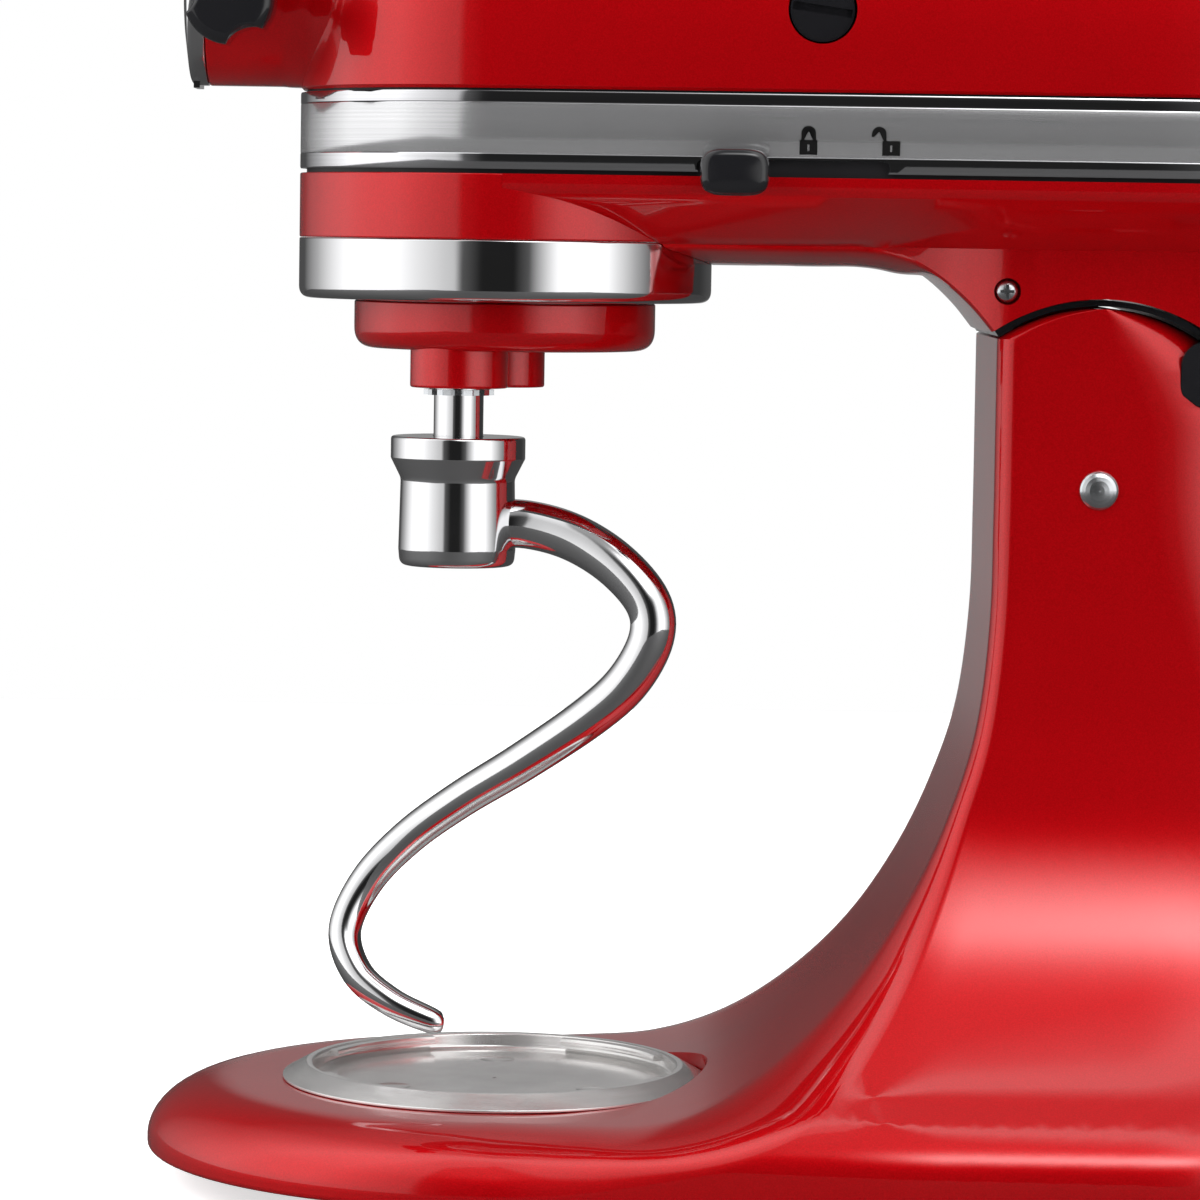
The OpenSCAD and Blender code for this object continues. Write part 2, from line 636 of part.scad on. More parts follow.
module hub_cover() {
  color(polished) difference() {
    union() {
      translate([0, 0, hub_z]) turned_x(concat([[hub_front - 0.1, 0], [hub_front - 0.1, hub_r],
        [hub_front - 3, hub_r], [hub_front - 3.7, hub_r - 0.8]],
        [for (a = [20:20:80]) [hub_front - 3.7 - 2.2 * sin(a), (hub_r - 0.8) * cos(a)]],
        [[hub_front - 5.9, 0]]));
      // Knuckle of its hinge
      translate([cover_pin_x, 0, cover_pin_z]) {
        rod_y(2.3, -3.1, 3.1);
        translate([-2, -3.1, -6]) cube([4, 6.2, 6]);
      }
      // Lip for a finger at the bottom
      translate([hub_front - 3.7, -7, hub_z - hub_r - 0.7]) cube([1.6, 14, 3.7]);
    }
    translate([cover_pin_x, 0, cover_pin_z]) {
      rod_y(cover_pin_r + 0.05, -20, 20);
      // Notches for the ears that hold the pin
      for (s = [-1, 1]) rod_y(2.8, s > 0 ? 3.1 : -7.4, s > 0 ? 7.4 : -3.1);
    }
  }
}

module cover_hinge_pin() {
  color(steel) translate([cover_pin_x, 0, cover_pin_z]) rod_y(cover_pin_r, -7, 7);
}

module hub_knob() {
  lobes = 3;
  color(black) translate([knob_x, 0, knob_z]) rotate([90, 0, 0]) translate([0, 0, 26]) difference() {
    rotate_extrude() polygon(concat([[0, 0], [6, 0], [6.5, 4]], arc(7.9, 9, 3.5, 225, 360, 5),
      arc(8.4, 18, 3, 0, 90, 5), [[0, 22]]));
    for (i = [0:lobes - 1]) rotate([0, 0, i * 360 / lobes - 67])
      translate([16.05, 0, 5]) cylinder(r = 7.65, h = 30);
    translate([0, 0, -1]) cylinder(r = 3.02, h = 14);
  }
}

module hub_knob_stud() {
  color(steel) translate([knob_x, 0, knob_z]) rod_y(knob_stud_r, -38.9, -18.2);
}

// --- Lock lever ------------------------------------------------------------

lever_pivot_x = -12;
lever_pivot_y = -4;
lever_knob_x = -30.4; // middle of the knob with the head locked
lever_z = band_z + 0.9; // underside of the lever's arm
lever_angle = atan2(-64 - lever_pivot_y, lever_knob_x - lever_pivot_x);

module lever_pivot() {
  color(steel) translate([lever_pivot_x, lever_pivot_y, 254]) {
    cylinder(r = 5.5, h = lever_z - 254.2);
    cylinder(r = 3, h = 13.5);
  }
}

module lock_lever_arm() {
  color(steel) translate([lever_pivot_x, lever_pivot_y, lever_z]) difference() {
    union() {
      cylinder(r = 8, h = 2.2);
      rotate([0, 0, lever_angle]) translate([0, -4, 0]) cube([64, 8, 2.2]);
    }
    translate([0, 0, -1]) cylinder(r = 3.05, h = 5);
  }
}

module lock_lever_knob() {
  color(black) difference() {
    hull() for (q = [[-37.2, 4.6, 61.2], [-25, 3.4, 62]]) for (z = [-1, 1]) {
      translate([q[0] + 0.6, -66.4, 262.6 + z * (q[1] - 2.2)]) sphere(r = 2.6, $fn = 24);
      translate([q[0] + 0.6, -q[2] - 0.6, 262.6 + z * (q[1] - 2.2)]) sphere(r = 1.6, $fn = 24);
    }
    translate([lever_pivot_x, lever_pivot_y, lever_z - 0.02]) rotate([0, 0, lever_angle])
      translate([0, -4.02, 0]) cube([64.02, 8.04, 2.24]);
  }
}

// A padlock shape in the XZ plane; shift moves its shackle to the open side
module padlock(shift) {
  square([4.4, 3.4]);
  translate([shift, 0]) difference() {
    translate([0.6, 3.2]) square([3.2, 3.3]);
    translate([1.3, 3]) square([1.8, 2.7]);
    if (shift < 0) translate([0, 3]) square([1.8, 1.6]);
  }
}

module lock_icons() {
  color(black) difference() {
    for (q = [[-10.6, 0], [8.7, -2.6]]) translate([q[0] - 2.2, -head_half(q[0]) + 0.4, 267.6])
      rotate([90, 0, 3]) linear_extrude(0.7) padlock(q[1]);
    band_solid();
  }
}

// --- Speed lever -----------------------------------------------------------

speed_x = 32; // X of the speed lever's stem at off

module speed_slide() {
  color(steel) {
    translate([speed_x - 14, 49.5, 266]) cube([28, 1.6, 12]);
    translate([speed_x - 3, 49.5, band_z + 7.2]) cube([6, 18, 3.8]);
  }
}

module speed_knob() {
  color(black) difference() {
    translate([speed_x, 62.2, band_z + 9.1]) rotate([-90, 0, 0]) intersection() {
      turned_z([[0, 0], [0, 6.4], [3, 7.6], [8, 7.6], [9.6, 6.4], [10.2, 3.5], [10.2, 0]]);
      translate([0, 0, 5]) cube([16, 11, 12], center = true);
    }
    translate([speed_x - 3.02, 60, band_z + 7.18]) cube([6.04, 7.52, 3.84]);
  }
}

module speed_plate() {
  color(black) difference() {
    for (i = [0:5]) translate([speed_x + i * 9, head_half(speed_x + i * 9) - 0.5, 275.5])
      cube([1.2, 0.9, i % 5 == 0 ? 4 : 2.6]);
    band_solid();
  }
}

// --- Motor -----------------------------------------------------------------

motor_z = brush_z; // height of the motor's axis
wheel_teeth = 36; // teeth of the worm wheel
pinion_at = [bowl_x + 38.07, -24]; // axis of the worm wheel and its pinion

module motor_brackets() {
  color(steel) difference() {
    union() {
      translate([-33, -20, 254.02]) cube([6, 40, 66]);
      translate([104, -32, 254.02]) cube([6, 64, 68]);
    }
    translate([0, 0, motor_z]) rod_x(5.05, -60, 130);
  }
}

module motor_shaft() {
  color(steel) translate([0, 0, motor_z]) {
    rod_x(5, -64, 118);
    // Worm that turns the worm wheel
    turned_x(concat([[-62, 0]], [for (i = [0:7]) each [[-62 + i * 3.14, 4.6], [-61.4 + i * 3.14, 4.6],
      [-60.6 + i * 3.14, 6.1], [-60.0 + i * 3.14, 6.1]]], [[-37, 4.6], [-37, 0]]));
  }
}

module armature_core() {
  slots = 12;
  color(steel) translate([8, 0, motor_z]) rotate([0, 90, 0]) difference() {
    cylinder(r = 24, h = 48);
    translate([0, 0, -1]) cylinder(r = 5.02, h = 50);
    for (i = [0:slots - 1]) rotate([0, 0, i * 360 / slots])
      translate([19, -1.6, -1]) cube([8, 3.2, 50]);
  }
}

module commutator() {
  bars = 24;
  color("#b06a3a") translate([-19, 0, motor_z]) rotate([0, 90, 0]) difference() {
    cylinder(r = 12, h = 18);
    translate([0, 0, -1]) cylinder(r = 5.02, h = 20);
    for (i = [0:bars - 1]) rotate([0, 0, i * 360 / bars])
      translate([11.2, -0.3, -1]) cube([2, 0.6, 20]);
  }
}

module field_stator() {
  color("#8a4b2a") difference() {
    union() {
      translate([10, -33, motor_z - 30]) cube([44, 66, 60]);
      translate([10, -24, 254.02]) cube([44, 48, 22]);
    }
    translate([0, 0, motor_z]) rod_x(25, 0, 70);
  }
}

module cooling_fan() {
  blades = 9;
  color(black) translate([72, 0, motor_z]) rotate([0, 90, 0]) difference() {
    union() {
      cylinder(r = 10, h = 12);
      cylinder(r = 31, h = 1.6);
      for (i = [0:blades - 1]) rotate([0, 0, i * 360 / blades]) translate([8, -0.8, 0])
        cube([22.5, 1.6, 12]);
    }
    translate([0, 0, -1]) cylinder(r = 5.02, h = 20);
  }
}

module brush_holders() {
  color("#9a7b4f") for (s = [-1, 1]) translate([brush_x, 0, motor_z]) scale([1, s, 1]) difference() {
    rod_y(brush_r, 15, 50);
    translate([-3.05, 0, -4.05]) cube([6.1, 60, 8.1]);
  }
}

module carbon_brushes() {
  color("#3a3a3c") for (s = [-1, 1]) translate([brush_x - 3, s > 0 ? 12.1 : -30, motor_z - 4])
    cube([6, 17.9, 8]);
}

module brush_springs() {
  color(steel) for (s = [-1, 1]) translate([brush_x, 0, motor_z])
    difference() {
      rod_y(2.8, s > 0 ? 30 : -50, s > 0 ? 50 : -30);
      rod_y(2, -60, 60);
    }
}

module brush_caps() {
  color(black) for (s = [-1, 1]) translate([brush_x, 0, motor_z]) difference() {
    rod_y(brush_r, s > 0 ? 50 : -56.6, s > 0 ? 56.6 : -50);
    rotate([0, 8, 0]) translate([-7.4, s > 0 ? 55.2 : -57.2, -1]) cube([14.8, 2, 2]);
  }
}

module control_board() {
  color("#2f5a3a") difference() {
    translate([126, -30, 254.02]) cube([2, 60, 66]);
    for (y = [-24, 24]) translate([0, y, 312]) rod_x(2, 120, 135);
  }
}

module end_cover_screw() {
  color(polished) translate([end_screw_x, 0, 318]) rotate([0, 90, 0]) screw(2.4, 12, 4.4, 1.6);
}

// --- Gear train ------------------------------------------------------------

mesh_angle = atan2(pinion_at[1], pinion_at[0] - bowl_x);

module pinion_bush() {
  color("#9a7b4f") translate([pinion_at[0], pinion_at[1], 254.02]) difference() {
    union() {
      cylinder(r = 9, h = 6);
      cylinder(r = 12, h = 1.6);
    }
    translate([0, 0, 1.6]) cylinder(r = 5.05, h = 10);
  }
}

module pinion_shaft() {
  color(steel) translate([pinion_at[0], pinion_at[1], 255.7]) cylinder(r = 5, h = 54);
}

module spur_pinion() {
  color(steel) translate([pinion_at[0], pinion_at[1], 265]) rotate([0, 0, mesh_angle + 180 + 15])
    difference() {
      linear_extrude(11) gear_outline(pinion_teeth, gear_m, 1.2, -1.9, 1.6);
      translate([0, 0, -1]) cylinder(r = 5.02, h = 20);
    }
}

module worm_wheel() {
  color("#c9b98a") translate([pinion_at[0], pinion_at[1], motor_z - 5]) difference() {
    union() {
      linear_extrude(10) gear_outline(wheel_teeth, 1, -0.3, -2.2, 0.6);
      translate([0, 0, -3]) cylinder(r = 9, h = 13);
    }
    translate([0, 0, -4]) cylinder(r = 5.02, h = 20);
  }
}

module centre_gear() {
  color(steel) translate([bowl_x, 0, 266]) rotate([0, 0, mesh_angle]) difference() {
    union() {
      linear_extrude(9) gear_outline(centre_teeth, gear_m, 1.2, -1.9, 0.5);
      // Crown ring that turns the attachment hub's bevel gear
      turned_z([[8, 14], [8, 30], [11.5, 30], [15.6, 21], [15.6, 14]]);
      cylinder(r = 15, h = 15);
    }
    translate([0, 0, -1]) cylinder(r = 8.02, h = 30);
  }
}

module centre_bearing() {
  color(steel) translate([bowl_x, 0, 245.1]) difference() {
    cylinder(r = 14, h = 8.8);
    translate([0, 0, -1]) cylinder(r = 8.05, h = 20);
  }
}

module ring_gear() {
  color(steel) translate([bowl_x, 0, 231.6]) rotate([0, 0, throw_angle]) difference() {
    cylinder(r = 43.9, h = 11.3);
    translate([0, 0, -1]) linear_extrude(14)
      rotate([0, 0, 360 / ring_teeth]) gear_outline(ring_teeth, gear_m, 1.9, -1.2, -0.6);
  }
}

// --- Planetary and agitator ------------------------------------------------

module planetary() {
  color(red) difference() {
    union() {
      translate([bowl_x, 0, 0]) turned_z(concat([[216.7, 0]],
        [for (a = [90:-15:0]) [222.2 - 5.5 * sin(a), 33.5 + 5.5 * cos(a)]],
        [[229, 39], [229, 34], [230.6, 34], [230.6, 0]]));
      translate([agitator_x, agitator_y, 0]) turned_z([[207.2, 0], [207.2, 11.9], [207.8, 12.5],
        [226, 12.5], [226, 0]]);
      translate([bowl_x, 0, 0]) turned_z([[207, 0], [207, 9.9], [207.6, 10.5], [226, 10.5], [226, 0]]);
    }
    translate([bowl_x, 0, 209]) cylinder(r = 8.02, h = 40);
    translate([agitator_x, agitator_y, 200]) cylinder(r = shaft_r + 0.05, h = 50);
    translate([bowl_x, 0, 212.5]) rotate([0, 0, 60]) rod_y(2.02, -14, 14);
  }
}

module centre_shaft() {
  color(steel) difference() {
    translate([bowl_x, 0, 209.1]) cylinder(r = 8, h = 74);
    translate([bowl_x, 0, 212.5]) rotate([0, 0, 60]) rod_y(2.02, -14, 14);
  }
}

module planetary_pin() {
  color(steel) translate([bowl_x, 0, 212.5]) rotate([0, 0, 60]) rod_y(2, -10.3, 10.3);
}

hook_pin_z = 190.4; // height of the pin that carries the hook
hook_pin_turn = 60; // turn of that pin about the shaft

module agitator_shaft() {
  color(polished) translate([agitator_x, agitator_y, 0]) difference() {
    turned_z([[167, 0], [167, shaft_r - 0.8], [167.8, shaft_r], [242, shaft_r], [242, 0]]);
    translate([0, 0, hook_pin_z]) rotate([0, 0, hook_pin_turn]) rod_y(1.62, -20, 20);
  }
}

module agitator_pin() {
  color(steel) translate([agitator_x, agitator_y, hook_pin_z]) rotate([0, 0, hook_pin_turn])
    rod_y(1.6, -9.4, 9.4);
}

module shaft_clip() {
  teeth = 10;
  color(steel) translate([agitator_x, agitator_y, 205.4]) linear_extrude(1.4) difference() {
    gear_outline(teeth, 1.7, 0.5, -0.5, 0);
    circle(r = shaft_r + 0.02);
  }
}

module planet_pinion() {
  color(steel) translate([agitator_x, agitator_y, 231.7]) rotate([0, 0, throw_angle]) difference() {
    linear_extrude(9.6) gear_outline(planet_teeth, gear_m, 1.2, -1.9, 1.2);
    translate([0, 0, -1]) cylinder(r = shaft_r + 0.02, h = 20);
  }
}

// Middle line of the hook: [x from the shaft's axis, y, z, radius]
hook_line = [[6, 0, 172.5, 6.3], [18, -1, 172.5, 6.2], [30, -5, 169.5, 6.1], [41, -10, 163, 6],
             [49, -14, 154, 5.9], [50, -15, 145, 5.8], [44.5, -13, 134, 5.7], [35, -9, 124.5, 5.5],
             [18, -1, 111.8, 5.2], [1.5, 7, 100.6, 4.9], [-12, 12, 90, 4.7], [-22.5, 13, 78.5, 4.5],
             [-28, 10, 66, 4.3], [-24.5, 5, 55.5, 4.1], [-15.5, 1, 48.6, 3.8], [-4.5, -1, 44, 3.3],
             [-2.2, -1, 43.2, 1.8]];

module hook_arm() {
  path = curve(hook_line, 3);
  sides = 12;
  n = len(path) - 1;
  loft([for (i = [0:n])
    let (p = path[i], a = path[max(0, i - 1)], b = path[min(n, i + 1)],
         t = [b[0] - a[0], b[1] - a[1], b[2] - a[2]] / norm([b[0] - a[0], b[1] - a[1], b[2] - a[2]]),
         u = cross([0, 1, 0], t) / norm(cross([0, 1, 0], t)), v = cross(t, u))
    [for (k = [0:sides - 1]) let (w = -360 * k / sides)
      [p[0], p[1], p[2]] + p[3] * (cos(w) * u + sin(w) * v)]]);
}

module dough_hook() {
  color(polished) translate([agitator_x, agitator_y, 0]) difference() {
    union() {
      turned_z([[161.7, 0], [161.7, 13.5], [163, 14.6], [166, 15], [184, 14.6], [188.3, 16.4],
        [189.2, 17.2], [194, 17.2], [194.8, 16.4], [194.8, 0]]);
      hook_arm();
    }
    translate([0, 0, 165.5]) cylinder(r = shaft_r + 0.1, h = 60);
    // Bayonet: the slot lets the pin down, and the chamber under the lip lets it turn
    translate([0, 0, hook_pin_z - 1.7]) {
      cylinder(r = 9.8, h = 3.5);
      rotate([0, 0, hook_pin_turn + 60]) translate([-2, -9.8, 0]) cube([4, 19.6, 10]);
    }
  }
}

// --- What is drawn ---------------------------------------------------------

base_casting();
column_rear_cover();
arc_shield();
hinge_pin();
bowl_clamp_plate();
clamp_plate_screws();
rubber_feet();
foot_screws();
upper_housing();
lower_housing();
trim_band();
end_cover();
drip_ring();
hub_casting();
hub_liner();
ring_gear();
field_stator();
motor_brackets();
brush_holders();
carbon_brushes();
brush_caps();
brush_springs();
control_board();
end_cover_screw();
neck_screws();
underside_screw();
centre_bearing();
pinion_bush();
hub_bush();
speed_plate();
cover_hinge_pin();
lever_pivot();
lock_icons();
hub_cover();
hub_knob();
hub_knob_stud();
lock_lever_arm();
lock_lever_knob();
speed_knob();
speed_slide();
motor_shaft();
armature_core();
commutator();
cooling_fan();
pinion_shaft();
worm_wheel();
spur_pinion();
hub_drive_shaft();
hub_bevel_gear();
planetary();
centre_shaft();
centre_gear();
planetary_pin();
agitator_shaft();
agitator_pin();
planet_pinion();
shaft_clip();
dough_hook();
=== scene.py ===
"""Looks for the tilt-head stand mixer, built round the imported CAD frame.

Shapes are worked out in millimetres, in the CAD's own frame, and put into meshes in metres.
"""
import json
import math

import bmesh
import bpy
import numpy as np
from mathutils import Matrix, Vector


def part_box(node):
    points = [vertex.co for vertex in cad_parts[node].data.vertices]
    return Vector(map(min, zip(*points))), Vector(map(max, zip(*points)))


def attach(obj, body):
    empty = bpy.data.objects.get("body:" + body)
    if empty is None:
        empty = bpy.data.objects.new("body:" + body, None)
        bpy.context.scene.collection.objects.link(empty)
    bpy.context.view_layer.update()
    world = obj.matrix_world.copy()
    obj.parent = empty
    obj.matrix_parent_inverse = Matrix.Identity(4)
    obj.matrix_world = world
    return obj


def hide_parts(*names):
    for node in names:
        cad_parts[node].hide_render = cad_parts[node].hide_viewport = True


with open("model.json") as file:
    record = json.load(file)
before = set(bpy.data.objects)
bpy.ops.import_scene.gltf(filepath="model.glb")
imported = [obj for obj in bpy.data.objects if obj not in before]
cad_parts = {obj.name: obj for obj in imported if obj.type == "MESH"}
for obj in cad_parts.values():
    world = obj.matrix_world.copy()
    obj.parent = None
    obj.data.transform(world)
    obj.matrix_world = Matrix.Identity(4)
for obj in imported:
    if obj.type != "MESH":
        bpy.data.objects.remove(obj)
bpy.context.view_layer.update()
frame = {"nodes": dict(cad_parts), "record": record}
MM = 0.001

# --- Driving dimensions, from the frame --------------------------------------


def box_mm(node):
    """Lowest and highest corner of a CAD node, in millimetres."""
    lo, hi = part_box(node)
    return lo / MM, hi / MM


ring_lo, ring_hi = box_mm("drip_ring")
band_lo, band_hi = box_mm("trim_band")
pin_lo, pin_hi = box_mm("hinge_pin")
cap_lo, cap_hi = box_mm("brush_caps")
liner_lo, liner_hi = box_mm("hub_liner")
stud_lo, stud_hi = box_mm("hub_knob_stud")
shaft_lo, shaft_hi = box_mm("agitator_shaft")
BOWL_X = (ring_lo.x + ring_hi.x) / 2
FRONT_R = (ring_hi.x - ring_lo.x) / 2
BAND_Z, BAND_TOP = band_lo.z - 0.6, band_hi.z
HEAD_TOP = box_mm("upper_housing")[1].z
HEAD_REAR = box_mm("end_cover")[1].x
HINGE_X = (pin_lo.x + pin_hi.x) / 2
HINGE_Z = (pin_lo.z + pin_hi.z) / 2
COLUMN_W = pin_hi.y - 1.8
HUB_Z = (liner_lo.z + liner_hi.z) / 2
HUB_FRONT = liner_lo.x
BRUSH_X = (cap_lo.x + cap_hi.x) / 2
BRUSH_Z = (cap_lo.z + cap_hi.z) / 2
KNOB_X = (stud_lo.x + stud_hi.x) / 2
KNOB_Z = (stud_lo.z + stud_hi.z) / 2
AGITATOR_X = (shaft_lo.x + shaft_hi.x) / 2
AGITATOR_Y = (shaft_lo.y + shaft_hi.y) / 2
SPLIT_X = box_mm("end_cover")[0].x

# --- Material kit --------------------------------------------------------------


def new_material(name, **values):
    """A Principled material with uniform values set straight on its sockets."""
    mat = bpy.data.materials.new(name)
    mat.use_nodes = True
    shader = mat.node_tree.nodes["Principled BSDF"]
    for key, value in values.items():
        shader.inputs[key.replace("_", " ")].default_value = value
    return mat, mat.node_tree, shader


def object_coords(tree, scale):
    """Object coordinates stretched by scale = (x, y, z)."""
    coords = tree.nodes.new("ShaderNodeTexCoord")
    mapping = tree.nodes.new("ShaderNodeMapping")
    mapping.inputs["Scale"].default_value = scale
    tree.links.new(coords.outputs["Object"], mapping.inputs["Vector"])
    return mapping.outputs["Vector"]


def noise(tree, vector, scale, detail=3.0, rough=0.5):
    """Soft noise between 0 and 1, mostly between 0.3 and 0.7."""
    node = tree.nodes.new("ShaderNodeTexNoise")
    node.inputs["Scale"].default_value = scale
    node.inputs["Detail"].default_value = detail
    node.inputs["Roughness"].default_value = rough
    tree.links.new(vector, node.inputs["Vector"])
    return node.outputs["Fac"]


def remap(tree, value, low, high, from_low=0.3, from_high=0.7):
    """Stretches from_low..from_high to low..high."""
    node = tree.nodes.new("ShaderNodeMapRange")
    node.inputs["From Min"].default_value = from_low
    node.inputs["From Max"].default_value = from_high
    node.inputs["To Min"].default_value = low
    node.inputs["To Max"].default_value = high
    tree.links.new(value, node.inputs["Value"])
    return node.outputs["Result"]


def mix_colour(tree, factor, a, b):
    """Colour between a and b."""
    node = tree.nodes.new("ShaderNodeMix")
    node.data_type = "RGBA"
    node.inputs["A"].default_value = (*a, 1)
    node.inputs["B"].default_value = (*b, 1)
    tree.links.new(factor, node.inputs["Factor"])
    return node.outputs["Result"]


def bump(tree, height, strength, distance, target, socket="Normal"):
    """Bumps one normal socket of the target shader by a height."""
    node = tree.nodes.new("ShaderNodeBump")
    node.inputs["Strength"].default_value = strength
    node.inputs["Distance"].default_value = distance
    tree.links.new(height, node.inputs["Height"])
    tree.links.new(node.outputs["Normal"], target.inputs[socket])


def metallic_red():
    """Candy paint: red metal with fine flake, under a clear lacquer with slight orange peel."""
    dark, light = (0.37, 0.0006, 0.0018), (0.52, 0.0012, 0.0045)
    mat, tree, shader = new_material("candy_red_paint", Metallic=0.6, Specular_IOR_Level=0.05,
                                     Coat_Weight=1.0, Coat_Roughness=0.02, Coat_IOR=1.5)
    even = object_coords(tree, (1, 1, 1))
    flake = noise(tree, even, 2600, 2)
    cloud = noise(tree, even, 14, 3)
    tree.links.new(mix_colour(tree, remap(tree, flake, 0, 1, 0.25, 0.75), dark, light),
                   shader.inputs["Base Color"])
    tree.links.new(remap(tree, cloud, 0.34, 0.40), shader.inputs["Roughness"])
    bump(tree, flake, 0.05, 0.00006, shader)
    bump(tree, noise(tree, even, 420, 2), 0.04, 0.00006, shader, "Coat Normal")
    return mat


def polished_metal(name, colour, low, high, scratch=0.02):
    """Bright metal with faint handling marks that vary its roughness."""
    mat, tree, shader = new_material(name, Metallic=1.0)
    shader.inputs["Base Color"].default_value = (*colour, 1)
    even = object_coords(tree, (1, 1, 1))
    tree.links.new(remap(tree, noise(tree, even, 60, 4), low, high), shader.inputs["Roughness"])
    fine = noise(tree, object_coords(tree, (1, 1, 7)), 900, 2)
    bump(tree, fine, scratch, 0.00004, shader)
    return mat


def brushed_metal(name, colour, low, high, stretch, strength=0.25, metallic=1.0):
    """Metal with long parallel brush lines; stretch is small along the lines."""
    mat, tree, shader = new_material(name, Metallic=metallic)
    lines = noise(tree, object_coords(tree, stretch), 1.0, 3, 0.65)
    broad = noise(tree, object_coords(tree, tuple(s * 0.12 for s in stretch)), 1.0, 2)
    dark = tuple(c * 0.82 for c in colour)
    tree.links.new(mix_colour(tree, remap(tree, lines, 0, 1, 0.25, 0.75), dark, colour),
                   shader.inputs["Base Color"])
    tree.links.new(remap(tree, broad, low, high), shader.inputs["Roughness"])
    bump(tree, lines, strength, 0.00005, shader)
    return mat


def plastic(name, colour, low, high, grain=0.0, coat=0.0, shine=0.5):
    """Moulded plastic or rubber; grain is the strength of a fine moulded texture."""
    mat, tree, shader = new_material(name, Coat_Weight=coat, Coat_Roughness=0.05,
                                     Specular_IOR_Level=shine)
    even = object_coords(tree, (1, 1, 1))
    lighter = tuple(min(1, c * 1.35 + 0.002) for c in colour)
    tree.links.new(mix_colour(tree, noise(tree, even, 35, 3), colour, lighter),
                   shader.inputs["Base Color"])
    tree.links.new(remap(tree, noise(tree, even, 90, 3), low, high), shader.inputs["Roughness"])
    bump(tree, noise(tree, even, 1500, 2), 0.02 + grain, 0.00008, shader)
    return mat


def windings():
    """Copper wire turns seen as fine ridges, lacquered; the darker copper in the grooves between turns
    is painted shade.
    """
    mat, tree, shader = new_material("copper_windings", Metallic=0.9, Roughness=0.35, Coat_Weight=0.4)
    wave = tree.nodes.new("ShaderNodeTexWave")
    wave.bands_direction = "X"
    wave.inputs["Scale"].default_value = 420
    tree.links.new(object_coords(tree, (1, 1, 1)), wave.inputs["Vector"])
    # Painted shade: the copper darkens in the grooves between turns, where the bump dips.
    tree.links.new(mix_colour(tree, wave.outputs["Fac"], (0.20, 0.06, 0.025), (0.62, 0.26, 0.12)),
                   shader.inputs["Base Color"])
    bump(tree, wave.outputs["Fac"], 0.5, 0.0002, shader)
    return mat


RED = metallic_red()
STAINLESS = polished_metal("polished_stainless", (0.74, 0.74, 0.75), 0.04, 0.10)
SATIN = polished_metal("satin_chrome", (0.66, 0.67, 0.68), 0.20, 0.27, 0.05)
ZINC = polished_metal("bright_zinc", (0.62, 0.64, 0.66), 0.16, 0.26, 0.06)
GEAR = brushed_metal("machined_steel", (0.46, 0.46, 0.47), 0.28, 0.42, (900, 900, 60), 0.1)
BRUSHED = brushed_metal("brushed_band", (0.66, 0.66, 0.67), 0.11, 0.16, (6, 6, 2600), 0.10, 0.84)
EDGE = brushed_metal("polished_band_edge", (0.78, 0.78, 0.80), 0.05, 0.09, (8, 8, 1400), 0.02)
PLATE = brushed_metal("spun_plate", (0.76, 0.75, 0.74), 0.12, 0.26, (90, 90, 900), 0.16, 0.75)
BLACK = plastic("gloss_black", (0.006, 0.006, 0.007), 0.08, 0.16, 0.0, 0.3, 0.4)
# Black for the sheet behind the band: painted shade for its seams and slots.
SHADE_BLACK = plastic("painted_shade_black", (0.008, 0.008, 0.009), 0.30, 0.42, 0.05, 0.0, 0.25)
PRINT = plastic("black_print", (0.004, 0.004, 0.004), 0.5, 0.65, 0.0, 0.0, 0.06)
RUBBER = plastic("foot_rubber", (0.018, 0.018, 0.019), 0.65, 0.85, 0.25)
NYLON = plastic("nylon_gear", (0.62, 0.56, 0.42), 0.40, 0.55, 0.05)
BOARD = plastic("board_lacquer", (0.02, 0.14, 0.05), 0.25, 0.40, 0.02, 0.3)
CARBON = plastic("pressed_carbon", (0.03, 0.03, 0.033), 0.55, 0.7, 0.2)
BRONZE = brushed_metal("sintered_bronze", (0.52, 0.36, 0.18), 0.35, 0.5, (300, 300, 300), 0.2)
COPPER = windings()
SLOT_MATERIALS = {
    "red_paint": RED, "black_gloss": BLACK, "black_print": PRINT, "black_rubber": RUBBER,
    "stainless": STAINLESS, "satin_chrome": SATIN, "brushed_steel": BRUSHED, "zinc_steel": ZINC,
    "gear_steel": GEAR, "copper_winding": COPPER, "bronze": BRONZE, "worm_nylon": NYLON,
    "carbon": CARBON, "board_green": BOARD,
}

# --- Shape kit -------------------------------------------------------------------


def mesh_object(name, bm):
    """Turns a bmesh in millimetres into an object in metres."""
    bmesh.ops.remove_doubles(bm, verts=bm.verts, dist=0.002)
    bmesh.ops.recalc_face_normals(bm, faces=bm.faces)
    bmesh.ops.scale(bm, vec=(MM, MM, MM), verts=bm.verts)
    mesh = bpy.data.meshes.new(name)
    bm.to_mesh(mesh)
    bm.free()
    obj = bpy.data.objects.new(name, mesh)
    bpy.context.collection.objects.link(obj)
    return obj


def finish_mesh(name, bm, materials, body, replaced=(), sharp=32):
    """Turns a bmesh in millimetres into a smooth-shaded piece that rides on a body."""
    obj = mesh_object(name, bm)
    mesh = obj.data
    for mat in materials:
        mesh.materials.append(mat)
    mesh.polygons.foreach_set("use_smooth", [True] * len(mesh.polygons))
    mesh.set_sharp_from_angle(angle=math.radians(sharp))
    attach(obj, body)
    if replaced:
        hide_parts(*replaced)
    return obj


